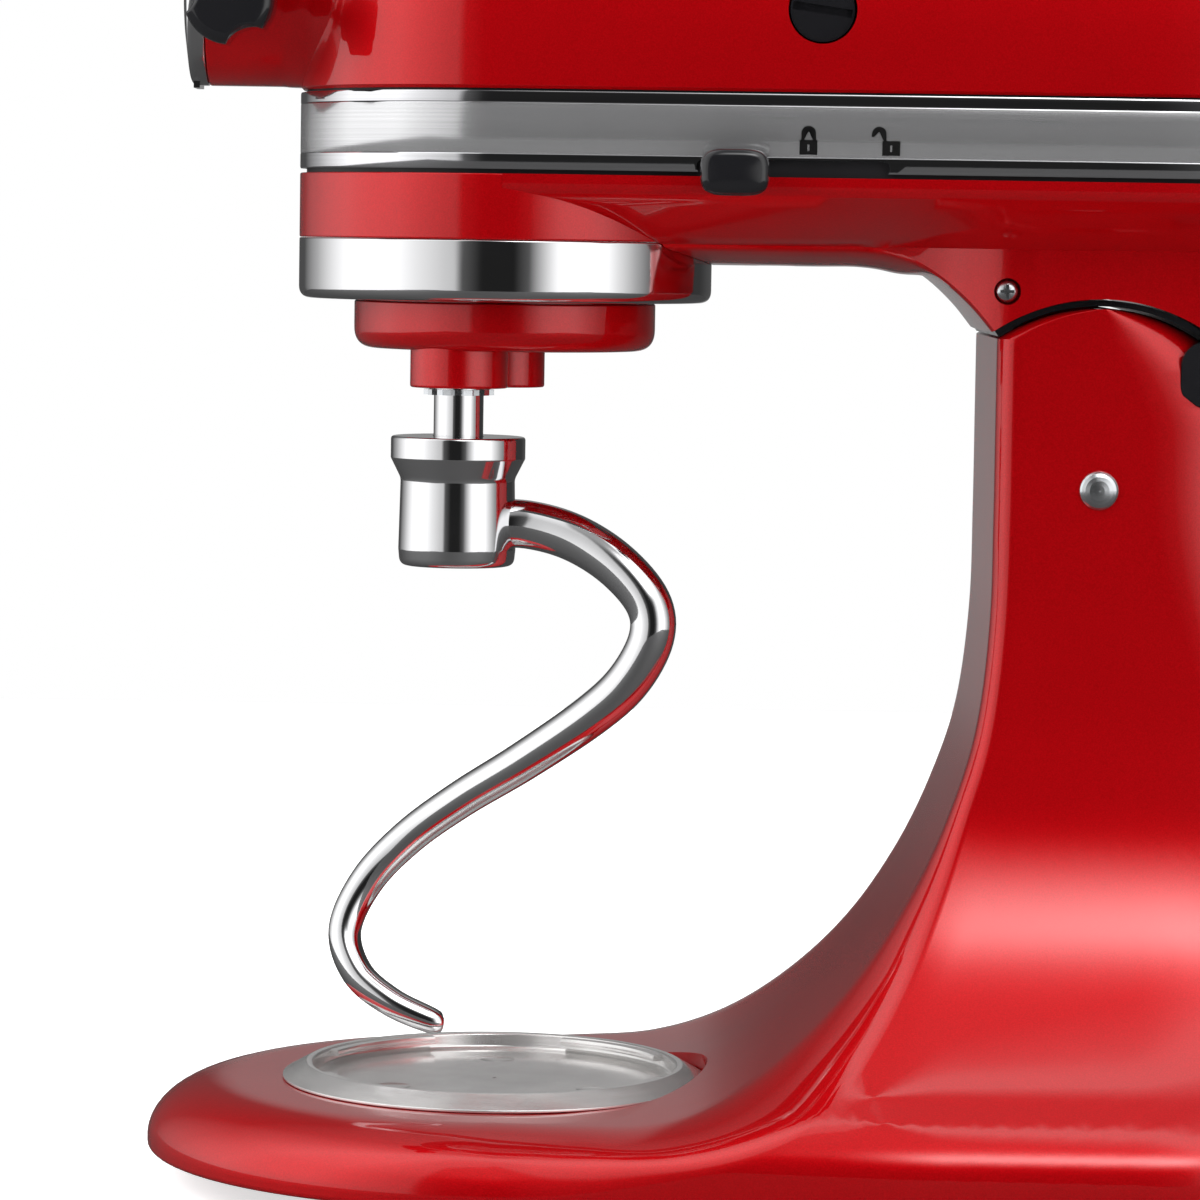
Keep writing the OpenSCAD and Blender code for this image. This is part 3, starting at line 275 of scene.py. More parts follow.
def add_loft(bm, rings, caps=(True, True), material=0):
    """Skins closed rings of equal length; caps fans the first and last ring."""
    rows = [[bm.verts.new(tuple(p)) for p in ring] for ring in rings]
    n = len(rows[0])
    for a, b in zip(rows, rows[1:]):
        for i in range(n):
            j = (i + 1) % n
            face = bm.faces.new((a[i], a[j], b[j], b[i]))
            face.material_index = material
    for row, wanted in ((rows[0], caps[0]), (rows[-1], caps[1])):
        if wanted:
            centre = bm.verts.new(sum((v.co for v in row), Vector()) / n)
            for i in range(n):
                bm.faces.new((row[i], row[(i + 1) % n], centre)).material_index = material


def add_lathe(bm, profile, place, steps=96, material=0):
    """Turns a [(height, radius)] profile about Z, then moves it by the matrix place."""
    rows = []
    for h, r in profile:
        ring = [Vector((r * math.cos(t), r * math.sin(t), h))
                for t in np.linspace(0, 2 * math.pi, steps, False)]
        rows.append([bm.verts.new(place @ p) for p in ring])
    for a, b in zip(rows, rows[1:]):
        for i in range(steps):
            j = (i + 1) % steps
            bm.faces.new((a[i], a[j], b[j], b[i])).material_index = material


def add_box(bm, centre, size):
    """Adds a box with its sides along the axes."""
    bmesh.ops.create_cube(bm, size=1, matrix=Matrix.Translation(centre) @ Matrix.Diagonal((*size, 1)))


def fillet(points, radii, steps=6):
    """A polyline with its inner corners rounded; radii has one value for each point."""
    out = []
    for i, (p, r) in enumerate(zip(points, radii)):
        if r <= 0 or i in (0, len(points) - 1):
            out.append(p)
            continue
        a, b, c = (Vector(q).to_2d() for q in (points[i - 1], p, points[i + 1]))
        u, v = (a - b).normalized(), (c - b).normalized()
        half = math.acos(max(-1, min(1, u.dot(v)))) / 2
        reach = min(r / math.tan(half), (a - b).length * 0.49, (c - b).length * 0.49)
        start, end = b + u * reach, b + v * reach
        for k in range(steps + 1):
            t = k / steps
            q = start * (1 - t) ** 2 + b * 2 * t * (1 - t) + end * t * t
            out.append((q.x, q.y))
    return out


def upright(x, y):
    """Matrix that stands a lathe's Z axis on (x, y)."""
    return Matrix.Translation((x, y, 0))


def along_x(x, y, z):
    """Matrix that lays a lathe's Z axis along +X from (x, y, z)."""
    return Matrix.Translation((x, y, z)) @ Matrix.Rotation(math.radians(90), 4, "Y")


def along_y(x, y, z, sign=1):
    """Matrix that lays a lathe's Z axis along +Y, or -Y, from (x, y, z)."""
    return Matrix.Translation((x, y, z)) @ Matrix.Rotation(math.radians(-90 * sign), 4, "X")


def smooth_line(points, x, spread):
    """Value at x on a broken line through (x, value) points, with its corners eased."""
    xs, ys = zip(*points)
    return float(np.mean(np.interp(x + np.linspace(-spread, spread, 9), xs, ys)))


def catmull(points, steps):
    """Smooth curve through points."""
    p = [np.array(q, float) for q in points]
    out = []
    for i in range(len(p) - 1):
        a, b, c, d = p[max(0, i - 1)], p[i], p[i + 1], p[min(len(p) - 1, i + 2)]
        for k in range(steps):
            t = k / steps
            out.append(0.5 * (2 * b + (c - a) * t + (2 * a - 5 * b + 4 * c - d) * t * t
                              + (3 * b - a - 3 * c + d) * t ** 3))
    return out + [p[-1]]


def cut(obj, cutter):
    """Cuts one mesh out of another for good, and drops the cutter."""
    bpy.context.view_layer.objects.active = obj
    mod = obj.modifiers.new("cut", "BOOLEAN")
    mod.operation = "DIFFERENCE"
    mod.solver = "EXACT"
    mod.object = cutter
    bpy.ops.object.modifier_apply(modifier=mod.name)
    bpy.data.objects.remove(cutter)
    obj.data.set_sharp_from_angle(angle=math.radians(32))


def cut_with(obj, add, *shape):
    """Cuts out of obj what add(bm, *shape) puts into a bmesh, in millimetres."""
    bm = bmesh.new()
    add(bm, *shape)
    cut(obj, mesh_object("cutter", bm))


# --- Base and column ---------------------------------------------------------------

BASE_BOTTOM, BASE_TOP, BASE_R, BASE_W = 8.0, 26.0, 90.5, 103.0
EDGE_W, EDGE_H, FOOT_EDGE = 22.0, 15.0, 2.0
COLUMN_TOP_R = 45.8
COLUMN_EDGE = 5.0
POCKET_X, POCKET_Z = HINGE_X + 20, 207
FRONT_LINE = [(BOWL_X, 26), (-66, 26), (-46, 27.2), (-28, 33.5), (-10, 46.5), (6, 63.5), (19, 84),
              (28, 104.5), (33.8, 124.5), (36.6, 150), (37, 176), (37, 200)]
REAR_LINE = [(BOWL_X, 8), (-52, 8), (-14, 8), (24, 8), (64, 8), (104, 8), (148, 8), (163, 24),
             (145, 52), (123, 103), (108, 166), (105.5, 200)]
SIDE_LINE = [(26, 1), (40, 0.7), (55, 0.48), (70, 0.31), (85, 0.19), (100, 0.1), (125, 0.03),
             (150, 0)]
PLAN_LINE = [(BOWL_X, BASE_R), (-40, 97), (10, BASE_W), (90, BASE_W), (130, 92), (155, 74),
             (167, 50)]


def ease(x, a, b):
    """Rises smoothly from 0 at a to 1 at b."""
    t = min(1, max(0, (x - a) / (b - a)))
    return t * t * (3 - 2 * t)


def side_w(x, z):
    """Half-width of the casting's side wall at a place on it."""
    return COLUMN_W + (smooth_line(PLAN_LINE, x, 12) - COLUMN_W) * smooth_line(SIDE_LINE, z, 6)


def mirrored(first, half, last):
    """Closed ring from its right half and the two points on the middle plane."""
    return [first] + half + [last] + [(x, -y, z) for x, y, z in reversed(half)]


def casting_ring(p, q, f):
    """Section of the casting from front point p to rear point q; f goes from base to column."""
    length = float(np.hypot(*(q - p)))
    direction = (q - p) / length
    cw, rw = EDGE_W + (COLUMN_EDGE - EDGE_W) * f, FOOT_EDGE + 10 * f
    cd = min(EDGE_H + (COLUMN_EDGE - EDGE_H) * f, 0.42 * length + 8 * (1 - f))
    rd = min(1.5 + 26 * f, 0.42 * length)
    corner = np.radians(np.linspace(0, 90, 15))
    depth = [cd * (1 - math.cos(a)) for a in corner]
    inset = [cw * (1 - math.sin(a)) for a in corner]
    depth += [cd + (length - cd - rd) * t for t in np.linspace(0, 1, 18)[1:-1]]
    inset += [0] * 16
    depth += [length - rd * (1 - math.cos(a)) for a in corner[::-2]]
    inset += [rw * (1 - math.sin(a)) for a in corner[::-2]]
    half = []
    for d, e in zip(depth, inset):
        x, z = p + direction * d
        z = max(BASE_BOTTOM, z)
        half.append((x, side_w(x, z) - e, z))
    y0 = half[0][1]
    front = [(p[0], y0 * t, p[1]) for t in (0.25, 0.5, 0.75, 0.92)]
    y1 = half[-1][1]
    rear = [(q[0], y1 * t, max(BASE_BOTTOM, q[1])) for t in (0.92, 0.7, 0.35)]
    return mirrored((p[0], 0, p[1]), front + half + rear, (q[0], 0, max(BASE_BOTTOM, q[1])))


def front_ring(rho):
    """Section across the round front of the base, rho in front of the bowl's axis."""
    low, flat = BASE_TOP - EDGE_H, BASE_R - EDGE_W
    rise = math.sqrt(max(0, 1 - ((rho - flat) / EDGE_W) ** 2)) if rho > flat else 1
    corner = np.radians(np.linspace(0, 90, 15))
    levels = [low + EDGE_H * rise * math.cos(a) for a in corner]
    foot = [0.0] * 31
    levels += [low + (BASE_BOTTOM + 1.5 - low) * t for t in np.linspace(0, 1, 18)[1:-1]]
    levels += [BASE_BOTTOM + 1.5 * (1 - math.cos(a)) for a in corner[::-2]]
    foot += [FOOT_EDGE * (1 - math.sin(a)) for a in corner[::-2]]
    half = []
    for z, e in zip(levels, foot):
        up = max(0, (z - low) / EDGE_H)
        r = flat + EDGE_W * math.sqrt(max(0, 1 - up * up)) - e
        half.append((BOWL_X - rho, max(0.3, math.sqrt(max(0, r * r - rho * rho))), z))
    top = low + EDGE_H * rise
    front = [(BOWL_X - rho, half[0][1] * t, top) for t in (0.25, 0.5, 0.75, 0.92)]
    rear = [(BOWL_X - rho, half[-1][1] * t, BASE_BOTTOM) for t in (0.92, 0.7, 0.35)]
    return mirrored((BOWL_X - rho, 0, top), front + half + rear, (BOWL_X - rho, 0, BASE_BOTTOM))


def casting_rings():
    front, rear = catmull(FRONT_LINE, 8), catmull(REAR_LINE, 8)
    rings = [front_ring(BASE_R * math.sin(math.radians(a))) for a in np.linspace(84.9, 3, 26)]
    rings += [casting_ring(p, q, ease(p[1], BASE_TOP, 110)) for p, q in zip(front, rear)]
    for a in np.radians(np.linspace(23, 85, 22)):
        x, z = COLUMN_TOP_R * math.cos(a), COLUMN_TOP_R * math.sin(a)
        rings.append(casting_ring(np.array([HINGE_X - min(26, x), HINGE_Z + z]),
                                  np.array([HINGE_X + x, HINGE_Z + z]), 1))
    return rings


def base_casting():
    """Base and column in one, with its slot, the bowl's recess and the rear cover's pocket."""
    bm = bmesh.new()
    add_loft(bm, casting_rings())
    obj = finish_mesh("column_and_base", bm, [RED], "base", ["base_casting"], sharp=50)
    cut_with(obj, add_box, (71.5, 0, 215), (55, 52, 110))
    recess = [(24.2, 0), (24.2, 49.8), (26.05, 49.8), (26.05, 55.8), (60, 55.8), (60, 0)]
    cut_with(obj, add_lathe, recess, upright(BOWL_X, 0), 160)
    cover_edge = [(30, -12), (4, -1)]
    cover_edge += [(5 + 5 * math.cos(a), 4 + 5 * math.sin(a))
                   for a in np.radians(np.linspace(210, 180, 4))]
    cover_edge += [(6 + 6 * math.cos(a), 9 + 6 * math.sin(a))
                   for a in np.radians(np.linspace(170, 90, 8))]
    cover_edge += [(30, 40)]
    cut_with(obj, add_loft, [[(POCKET_X + x, y, POCKET_Z + z) for x, z in cover_edge]
                             for y in (60, -60)])


base_casting()

# --- Head ----------------------------------------------------------------------------

HALF_W = [(BOWL_X, FRONT_R), (-40, 56.5), (20, 59.5), (80, 61), (130, 59)]
REAR_START = 116.0
NECK_X, NECK_Y, NECK_Z = 39, 36.5, 234


def head_half(x):
    """Half-width of the head at the band."""
    return smooth_line(HALF_W, x, 14)


def head_plan(s, f, r, count=26):
    """Half of the head's outline in plan: s scales the width, f the front and r the rear."""
    half = [(BOWL_X - FRONT_R * f * math.cos(a), FRONT_R * s * math.sin(a))
            for a in np.radians(np.linspace(0, 88, count))]
    half += [(x, head_half(x) * s) for x in np.linspace(BOWL_X + 4, REAR_START, 24)]
    reach = (HEAD_REAR - REAR_START) * r
    rear_w = head_half(HALF_W[-1][0]) * s
    half += [(REAR_START + reach * math.cos(a) ** 0.75, rear_w * math.sin(a) ** 0.75)
             for a in np.radians(np.linspace(84, 0, count))]
    return half


def level_ring(half, z):
    """Closed ring at height z from half of an outline in plan."""
    ring = [(x, y, z) for x, y in half]
    return ring + [(x, -y, z) for x, y in reversed(half[1:-1])]


def dome_rings():
    """Level rings of the upper head, from its seam over the band to the flat on top."""
    n = 2 / 2.7
    low = BAND_TOP + 0.6
    rings = [level_ring(head_plan(0.985, 0.985, 0.985), low)]
    for a in np.radians(np.linspace(0, 88, 40)):
        s, up = math.cos(a) ** n, math.sin(a) ** n
        z = low + 0.8 + (HEAD_TOP - low - 0.8) * (up if a < math.radians(87.9) else 1)
        rear = 1 - 0.34 * (1 - math.cos(a) ** 0.8)
        rings.append(level_ring(head_plan(s, math.cos(a) ** 0.95, rear), z))
    return rings


def split_at(obj, x, keep_front):
    """Cuts an open shell at a plane across X and keeps one side."""
    bm = bmesh.new()
    bm.from_mesh(obj.data)
    bmesh.ops.bisect_plane(bm, geom=bm.verts[:] + bm.edges[:] + bm.faces[:], plane_co=(x * MM, 0, 0),
                           plane_no=(1, 0, 0), clear_outer=keep_front, clear_inner=not keep_front)
    bm.to_mesh(obj.data)
    bm.free()


def thicken(obj, wall):
    """Gives an open shell a wall, inwards from its surface."""
    mod = obj.modifiers.new("wall", "SOLIDIFY")
    mod.thickness = wall * MM
    mod.offset = -1
    bpy.context.view_layer.objects.active = obj
    bpy.ops.object.modifier_apply(modifier=mod.name)
    obj.data.set_sharp_from_angle(angle=math.radians(40))


def head_shell(name, node):
    bm = bmesh.new()
    add_loft(bm, dome_rings(), caps=(False, True))
    return finish_mesh(name, bm, [RED], "head", [node], sharp=60)


def upper_head():
    """Upper shell of the head and its end cover, split by a narrow seam."""
    front = head_shell("head_cover", "upper_housing")
    rear = head_shell("head_end_cover", "end_cover")
    split_at(front, SPLIT_X - 0.3, True)
    split_at(rear, SPLIT_X + 0.3, False)
    for obj in (front, rear):
        thicken(obj, 2.6)
    for sign in (-1, 1):
        cut_with(front, add_lathe, [(0, 0), (0, 8.5), (30, 8.5), (30, 0)],
                 along_y(BRUSH_X, sign * 44, BRUSH_Z, sign))
    cut_with(front, add_lathe, [(0, 0), (0, 19), (60, 19), (60, 0)],
             along_x(HUB_FRONT - 5, 0, HUB_Z))
    for y in np.arange(-24, 25, 6):
        cut_with(rear, add_box, (175, y, 300), (30, 2.4, 16))


def hub_collar():
    """The hub's outside and its flare into the head."""
    profile = fillet([(0, 17.6), (0, 24.5), (20, 24.5), (27, 26), (33, 29.8), (44, 30.4)],
                     [0, 0.8, 12, 8, 5, 0], 5)
    bm = bmesh.new()
    add_lathe(bm, profile + [(44, 17.6), (0, 17.6)], along_x(HUB_FRONT, 0, HUB_Z))
    boss = fillet([(0, 0), (0, 7), (9, 6.4), (9, 0)], [0, 0, 1, 0])
    add_lathe(bm, boss, along_y(KNOB_X, -17.8, KNOB_Z, -1), 48)
    obj = finish_mesh("hub_collar", bm, [RED], "head", ["hub_casting"], sharp=40)
    below_z = 262
    cut_with(obj, add_box, (-105, 0, below_z), (120, 120, 2 * (BAND_TOP + 1.4 - below_z)))


def trim_band():
    """Brushed strip round the head, with a polished edge above and below."""
    z0, z1 = BAND_Z + 0.6, BAND_TOP
    # Each level is (height, scale in plan, material of the strip up to it)
    levels = [(z0, 0.975, 1), (z0, 0.997, 1), (z0 + 0.4, 1.0, 1), (z0 + 3.7, 1.0, 1),
              (z0 + 3.9, 0.9975, 1), (z0 + 4.1, 0.9995, 0), (z1 - 3.1, 0.9995, 0),
              (z1 - 2.9, 0.9975, 1), (z1 - 2.7, 1.0, 1), (z1 - 0.4, 1.0, 1), (z1, 0.997, 1),
              (z1, 0.975, 1)]
    bm = bmesh.new()
    rings = [level_ring(head_plan(s, s, 1 - (1 - s) * 0.9), z) for z, s, _ in levels]
    for a, b, level in zip(rings, rings[1:], levels[1:]):
        add_loft(bm, [a, b], (False, False), level[2])
    add_loft(bm, [rings[-1], rings[0]], (False, False), 1)
    obj = finish_mesh("steel_band", bm, [BRUSHED, EDGE], "head", ["trim_band"],
                      sharp=12)
    x0, x1, slot_z, r = -40, 6, 263.9, 1.9
    turns = np.linspace(0, math.pi, 12)
    outline = [(x0 + r - r * math.sin(t), slot_z - r * math.cos(t)) for t in turns]
    outline += [(x1 + r * math.sin(t), slot_z + r * math.cos(t)) for t in turns]
    cut_with(obj, add_loft, [[(x, y, z) for x, z in outline] for y in (-70, -48)])
    cut_with(obj, add_box, (55, 60, 271.1), (62, 30, 5))


def lock_mark(x, shift):
    """Printed padlock, thin and raised; shift moves its shackle to the open side."""
    mark_z, mid = 267.2, 2.2

    def add_raised(bm, pts, lift):
        near = [(x - mid + u, -head_half(x - mid + u) - lift, mark_z + w) for u, w in pts]
        far = [(px, py + 0.9, pz) for px, py, pz in near]
        add_loft(bm, [far, near])

    arch = np.linspace(0, math.pi, 14)
    outer = [(shift + mid + 1.8 * math.cos(a), 5.3 + 1.8 * math.sin(a)) for a in arch]
    inner = [(shift + mid + 1.3 * math.cos(a), 5.3 + 1.3 * math.sin(a)) for a in arch[::-1]]
    left = 3.2 if shift == 0 else 4.6
    shackle = [(shift + 4.0, 3.2)] + outer + [(shift + 0.4, left), (shift + 0.9, left)] + inner
    shackle += [(shift + 3.5, 3.2)]
    bm = bmesh.new()
    add_raised(bm, [(0, 0), (4.4, 0), (4.4, 3.6), (0, 3.6)], 0.12)
    add_raised(bm, shackle, 0.12)
    add_raised(bm, [(1.95, 0.9), (2.45, 0.9), (2.45, 2.5), (1.95, 2.5)], 0.16)
    # The last faces are the keyhole's front
    for face in bm.faces[-6:]:
        face.material_index = 1
    return bm


def lock_marks():
    for name, x, shift in (("locked_mark", -12.4, 0), ("unlocked_mark", 8.0, -3.0)):
        finish_mesh(name, lock_mark(x, shift), [PRINT, BRUSHED], "head",
                    ["lock_icons"])


def painted_seam_shade():
    """Black sheet inside the head: painted shade that shows in the seams above and below the band and
    in its slots.
    """
    half = head_plan(0.968, 0.968, 0.972)
    bm = bmesh.new()
    # Painted shade: a black sheet placed where the seams and slots would show the dark interior.
    add_loft(bm, [level_ring(half, BAND_Z - 3), level_ring(half, BAND_TOP + 5)], (False, False))
    finish_mesh("painted_seam_shade_sheet", bm, [SHADE_BLACK], "head")


UNDER_LINE = [(-46, 243.7, 36), (-10, 243.7, 31), (4, 243.7, 29), (13, 242, 30), (22, 237.2, 33),
              (30, 230.3, 37), (37, 222, 40), (44, 214, 41), (52, 206, 41), (76, 203, 41),
              (100, 203, 41), (112, 213, 40), (124, 230, 37), (134, 243, 36), (150, 246, 33),
              (166, 249, 24), (175, 252, 14)]
UNDER_Z, CREASE_Z, DRUM_Z, SADDLE_R = 243.7, 256.7, 245.0, 48.1


def arm_ring(x, z, w):
    """Section of the lower head at one place along its length."""
    rear = math.sqrt(max(0.03, 1 - (max(0, x - REAR_START) / (HEAD_REAR - REAR_START)) ** 2.6))
    top = head_half(x) * rear
    hip = min(w, top * 0.72)
    bend = max(z, UNDER_Z) + 0.9
    deep = ease(243 - z, 0, 6)
    crown = z - 4.4 + 3.9 * deep
    side = [(top, BAND_Z - 0.5), (top, 259.5), (top - 0.15, 258), (top - 0.9, CREASE_Z)]
    side += [(hip + (top - 0.9 - hip) * t, bend + (CREASE_Z - bend) * t - 2.2 * t * (1 - t))
             for t in (0.8, 0.6, 0.4, 0.2)]
    side += [(hip, bend), (hip - 0.2, bend + (z + 0.9 - bend) * 0.5), (hip - 0.3, z + 0.9),
             (hip - 1.0, z + 0.1)]
    side += [(hip * t, crown + (z - crown) * t * t) for t in (0.9, 0.7, 0.5, 0.3, 0.15)]
    return mirrored((x, 0, BAND_Z - 0.5), [(x, y, h) for y, h in side], (x, 0, crown))


def lower_head():
    """Arm and neck of the head, with the drum over the drip ring as its own piece."""
    stations = catmull([(BOWL_X, UNDER_Z, 36), (-67, UNDER_Z, 36)] + UNDER_LINE, 6)
    bm = bmesh.new()
    add_loft(bm, [arm_ring(*s) for s in stations])
    obj = finish_mesh("head_arm", bm, [RED], "head", ["lower_housing"], sharp=32)
    cut_with(obj, add_lathe, [(0, 0), (0, SADDLE_R), (140, SADDLE_R), (140, 0)],
             along_y(HINGE_X, -70, HINGE_Z), 160)
    clear_r = FRONT_R + 0.3
    cut_with(obj, add_lathe, [(225, 0), (225, clear_r), (DRUM_Z, clear_r), (DRUM_Z, 0)],
             upright(BOWL_X, 0))
    screw_hole = [(230, 0), (230, 5), (240.5, 5), (243, 3), (248, 3), (248, 0)]
    cut_with(obj, add_lathe, screw_hole, upright(-18, 0), 48)
    for sign in (-1, 1):
        cut_with(obj, add_lathe, [(0, 0), (0, 3.3), (20, 3.5), (20, 0)],
                 along_y(NECK_X, sign * NECK_Y, NECK_Z, sign), 48)
    drum_top = BAND_Z - 0.5
    profile = fillet([(DRUM_Z, 40), (DRUM_Z, FRONT_R), (drum_top, FRONT_R), (drum_top, 40)],
                     [0, 0.5, 0.5, 0])
    bm = bmesh.new()
    add_lathe(bm, profile, upright(BOWL_X, 0), 160)
    finish_mesh("head_drum", bm, [RED], "head", sharp=40)


def hinge_lug():
    """Lug under the head that swings on the pin, hidden in the column."""
    bm = bmesh.new()
    add_lathe(bm, [(-20, 5.1), (-20, 13), (20, 13), (20, 5.1), (-20, 5.1)],
              along_y(HINGE_X, 0, HINGE_Z), 64)
    ring = []
    for r, start, stop in ((12.5, 92, 114), (48.4, 114, 92)):
        ring += [(HINGE_X + r * math.cos(math.radians(a)), HINGE_Z + r * math.sin(math.radians(a)))
                 for a in np.linspace(start, stop, 8)]
    add_loft(bm, [[(x, -20, z) for x, z in ring], [(x, 20, z) for x, z in ring]])
    finish_mesh("hinge_lug", bm, [RED], "head")


def neck_screws():
    """Domed cross-recess screws let into both sides of the neck."""
    for side, sign in (("right", -1), ("left", 1)):
        bm = bmesh.new()
        dome = [(2.2 + 1.6 * math.sin(a), 2.9 * math.cos(a)) for a in np.radians((20, 40, 60, 75))]
        add_lathe(bm, [(0.1, 0), (0.1, 2.9), (2.2, 2.9)] + dome + [(3.8, 0)],
                  along_y(NECK_X, sign * NECK_Y, NECK_Z, sign), 48)
        obj = finish_mesh("neck_screw_" + side, bm, [ZINC], "head", ["neck_screws"],
                          sharp=30)
        for width, height in ((3.6, 0.8), (0.8, 3.6)):
            cut_with(obj, add_box, (NECK_X, sign * (NECK_Y + 3.8), NECK_Z), (width, 2.6, height))


upper_head()
hub_collar()
trim_band()
lock_marks()
painted_seam_shade()
lower_head()
neck_screws()
hinge_lug()

# --- Attachment hub ------------------------------------------------------------------

PIN_X, PIN_Z = HUB_FRONT - 2.4, HUB_Z + 26.9


def hub_ears():
    """Two ears over the hub that hold the cover's hinge pin."""
    outline = [(2.4, -2.3), (2.4, -6), (10, -6), (10, -1), (6, 2.3)]
    outline += [(2.3 * math.cos(a), 2.3 * math.sin(a)) for a in np.radians(np.linspace(90, 270, 13))]
    bm = bmesh.new()
    for y in (3.3, -7):
        add_loft(bm, [[(PIN_X + x, y + d, PIN_Z + z) for x, z in outline] for d in (0, 3.7)])
    finish_mesh("hub_ears", bm, [RED], "head", sharp=40)


def hub_lid():
    """Polished lid over the hub, with its knuckle and finger lip."""
    profile = fillet([(0.1, 0), (0.1, 24.5), (4.4, 24.5), (5.9, 14), (5.9, 0)],
                     [0, 0.4, 1.8, 10, 0], 8)
    bm = bmesh.new()
    add_lathe(bm, [(-d, r) for d, r in profile], along_x(HUB_FRONT, 0, HUB_Z))
    add_lathe(bm, [(-3.1, 1.3), (-3.1, 2.3), (3.1, 2.3), (3.1, 1.3), (-3.1, 1.3)],
              along_y(PIN_X, 0, PIN_Z), 48)
    add_box(bm, (PIN_X, 0, PIN_Z - 4), (3.8, 6.2, 4.6))
    add_box(bm, (HUB_FRONT - 2.9, 0, HUB_Z - 23), (1.6, 14, 4.4))
    finish_mesh("hub_lid", bm, [STAINLESS], "hub_cover_flap", ["hub_cover"], sharp=40)


def clamp_knob():
    """Knob with three broad lobes, which clamps an attachment in the hub."""
    scallop_at, scallop_r, first, sides = 16.05, 7.65, math.radians(-67), 240
    knob_r, knob_y, third = 11.4, -26, 2 * math.pi / 3
    outline = fillet([(0, 3), (0, 7), (4, 7.5), (6.4, knob_r), (22, knob_r), (22, 3)],
                     [0, 0.8, 2, 3, 3.4, 0], 7)
    bm = bmesh.new()
    rings = []
    for depth, radius in outline:
        ring = []
        for k in range(sides):
            a = 2 * math.pi * k / sides
            off = abs((a - first + third / 2) % third - third / 2)
            reach = scallop_r ** 2 - (scallop_at * math.sin(off)) ** 2
            dip = scallop_at * math.cos(off) - math.sqrt(reach) if reach > 0 and off < 1 else 99
            rim = min(radius, max(6.9, dip - (knob_r - radius) * 0.45))
            ring.append((KNOB_X + rim * math.cos(a), knob_y - depth, KNOB_Z + rim * math.sin(a)))
        rings.append(ring)
    add_loft(bm, rings)
    finish_mesh("clamp_knob", bm, [BLACK], "hub_knob_screw", ["hub_knob"], sharp=38)


# --- Levers --------------------------------------------------------------------------


def lever_knob(name, body, node, x0, x1, z0, z1, y0, y1):
    """Rounded finger piece between x0..x1 and z0..z1, from y0 by the head out to y1."""
    bm = bmesh.new()
    rings = []
    for t, inset in ((0, 1.4), (0.06, 0.5), (0.16, 0.1), (0.5, 0), (0.84, 0.1), (0.94, 0.7), (1, 1.9)):
        w, h = (x1 - x0) / 2 - inset, (z1 - z0) / 2 - inset
        ring = []
        for a in np.linspace(0, 2 * math.pi, 64, endpoint=False):
            c, s = math.cos(a), math.sin(a)
            ring.append(((x0 + x1) / 2 + w * math.copysign(abs(c) ** 0.55, c), y0 + (y1 - y0) * t,
                         (z0 + z1) / 2 + h * math.copysign(abs(s) ** 0.55, s)))
        rings.append(ring)
    add_loft(bm, rings)
    finish_mesh(name, bm, [BLACK], body, [node], sharp=60)


# --- Bowl seat -----------------------------------------------------------------------

SCREW_RING_R, SCREW_TURNS, LIP_TURNS = 30, (90, 210, 330), (22, 112, 202, 292)


def bowl_plate():
    """Dished clamp plate with a rolled rim, four bayonet lips and rings round its screws."""
    seat = 25.8
    profile = fillet([(seat, 0.5), (seat, 47.2), (29.9, 47.5), (30.2, 49.2), (26.8, 55.4),
                      (26.15, 55.4), (26.1, 49.6)], [0, 1.6, 0.9, 1.2, 0.3, 0.2, 0], 6)
    bm = bmesh.new()
    add_lathe(bm, profile, upright(BOWL_X, 0), 200)
    for a in np.radians(SCREW_TURNS):
        add_lathe(bm, [(seat + 0.02, 0), (seat + 0.02, 4.6), (seat + 0.16, 4.3), (seat + 0.16, 0)],
                  upright(BOWL_X + SCREW_RING_R * math.cos(a), SCREW_RING_R * math.sin(a)), 48)
    for start in LIP_TURNS:
        rings = []
        for a in np.radians(np.linspace(start, start + 46, 22)):
            c, s = math.cos(a), math.sin(a)
            rings.append([(BOWL_X + r * c, r * s, z)
                          for r, z in ((48, 28), (45.1, 28), (45.0, 28.6), (45.3, 29.6), (48, 29.7))])
        add_loft(bm, rings)
    finish_mesh("bowl_plate", bm, [PLATE], "base", ["bowl_clamp_plate"], sharp=35)


# --- Planetary, drip ring and hook ----------------------------------------------------


def drip_ring():
    profile = fillet([(229.4, 40.6), (229.4, FRONT_R), (244.9, FRONT_R), (244.9, 44), (231.5, 44),
                      (231.5, 40.6), (229.4, 40.6)], [0, 3.2, 0.5, 0, 0, 0, 0], 10)
    bm = bmesh.new()
    add_lathe(bm, profile, upright(BOWL_X, 0), 200)
    finish_mesh("drip_ring_shell", bm, [STAINLESS], "head", ["drip_ring"], sharp=35)


def planetary():
    """Red disc with the bosses of the agitator's shaft and its own."""
    bm = bmesh.new()
    add_lathe(bm, fillet([(216.7, 0.5), (216.7, 39), (229, 39), (229, 34), (230.6, 34), (230.6, 0.5)],
                         [0, 5.5, 0.6, 0, 0, 0], 10), upright(BOWL_X, 0), 160)
    boss = fillet([(207.2, 6.5), (207.2, 12.5), (217.5, 12.5), (217.5, 6.5)], [0, 0.7, 0, 0])
    add_lathe(bm, boss, upright(AGITATOR_X, AGITATOR_Y), 96)
    hub = fillet([(207, 8.1), (207, 10.5), (217.5, 10.5), (217.5, 8.1)], [0, 0.7, 0, 0])
    add_lathe(bm, hub, upright(BOWL_X, 0), 96)
    finish_mesh("planetary_disc", bm, [RED], "planetary_unit", ["planetary"], sharp=40)


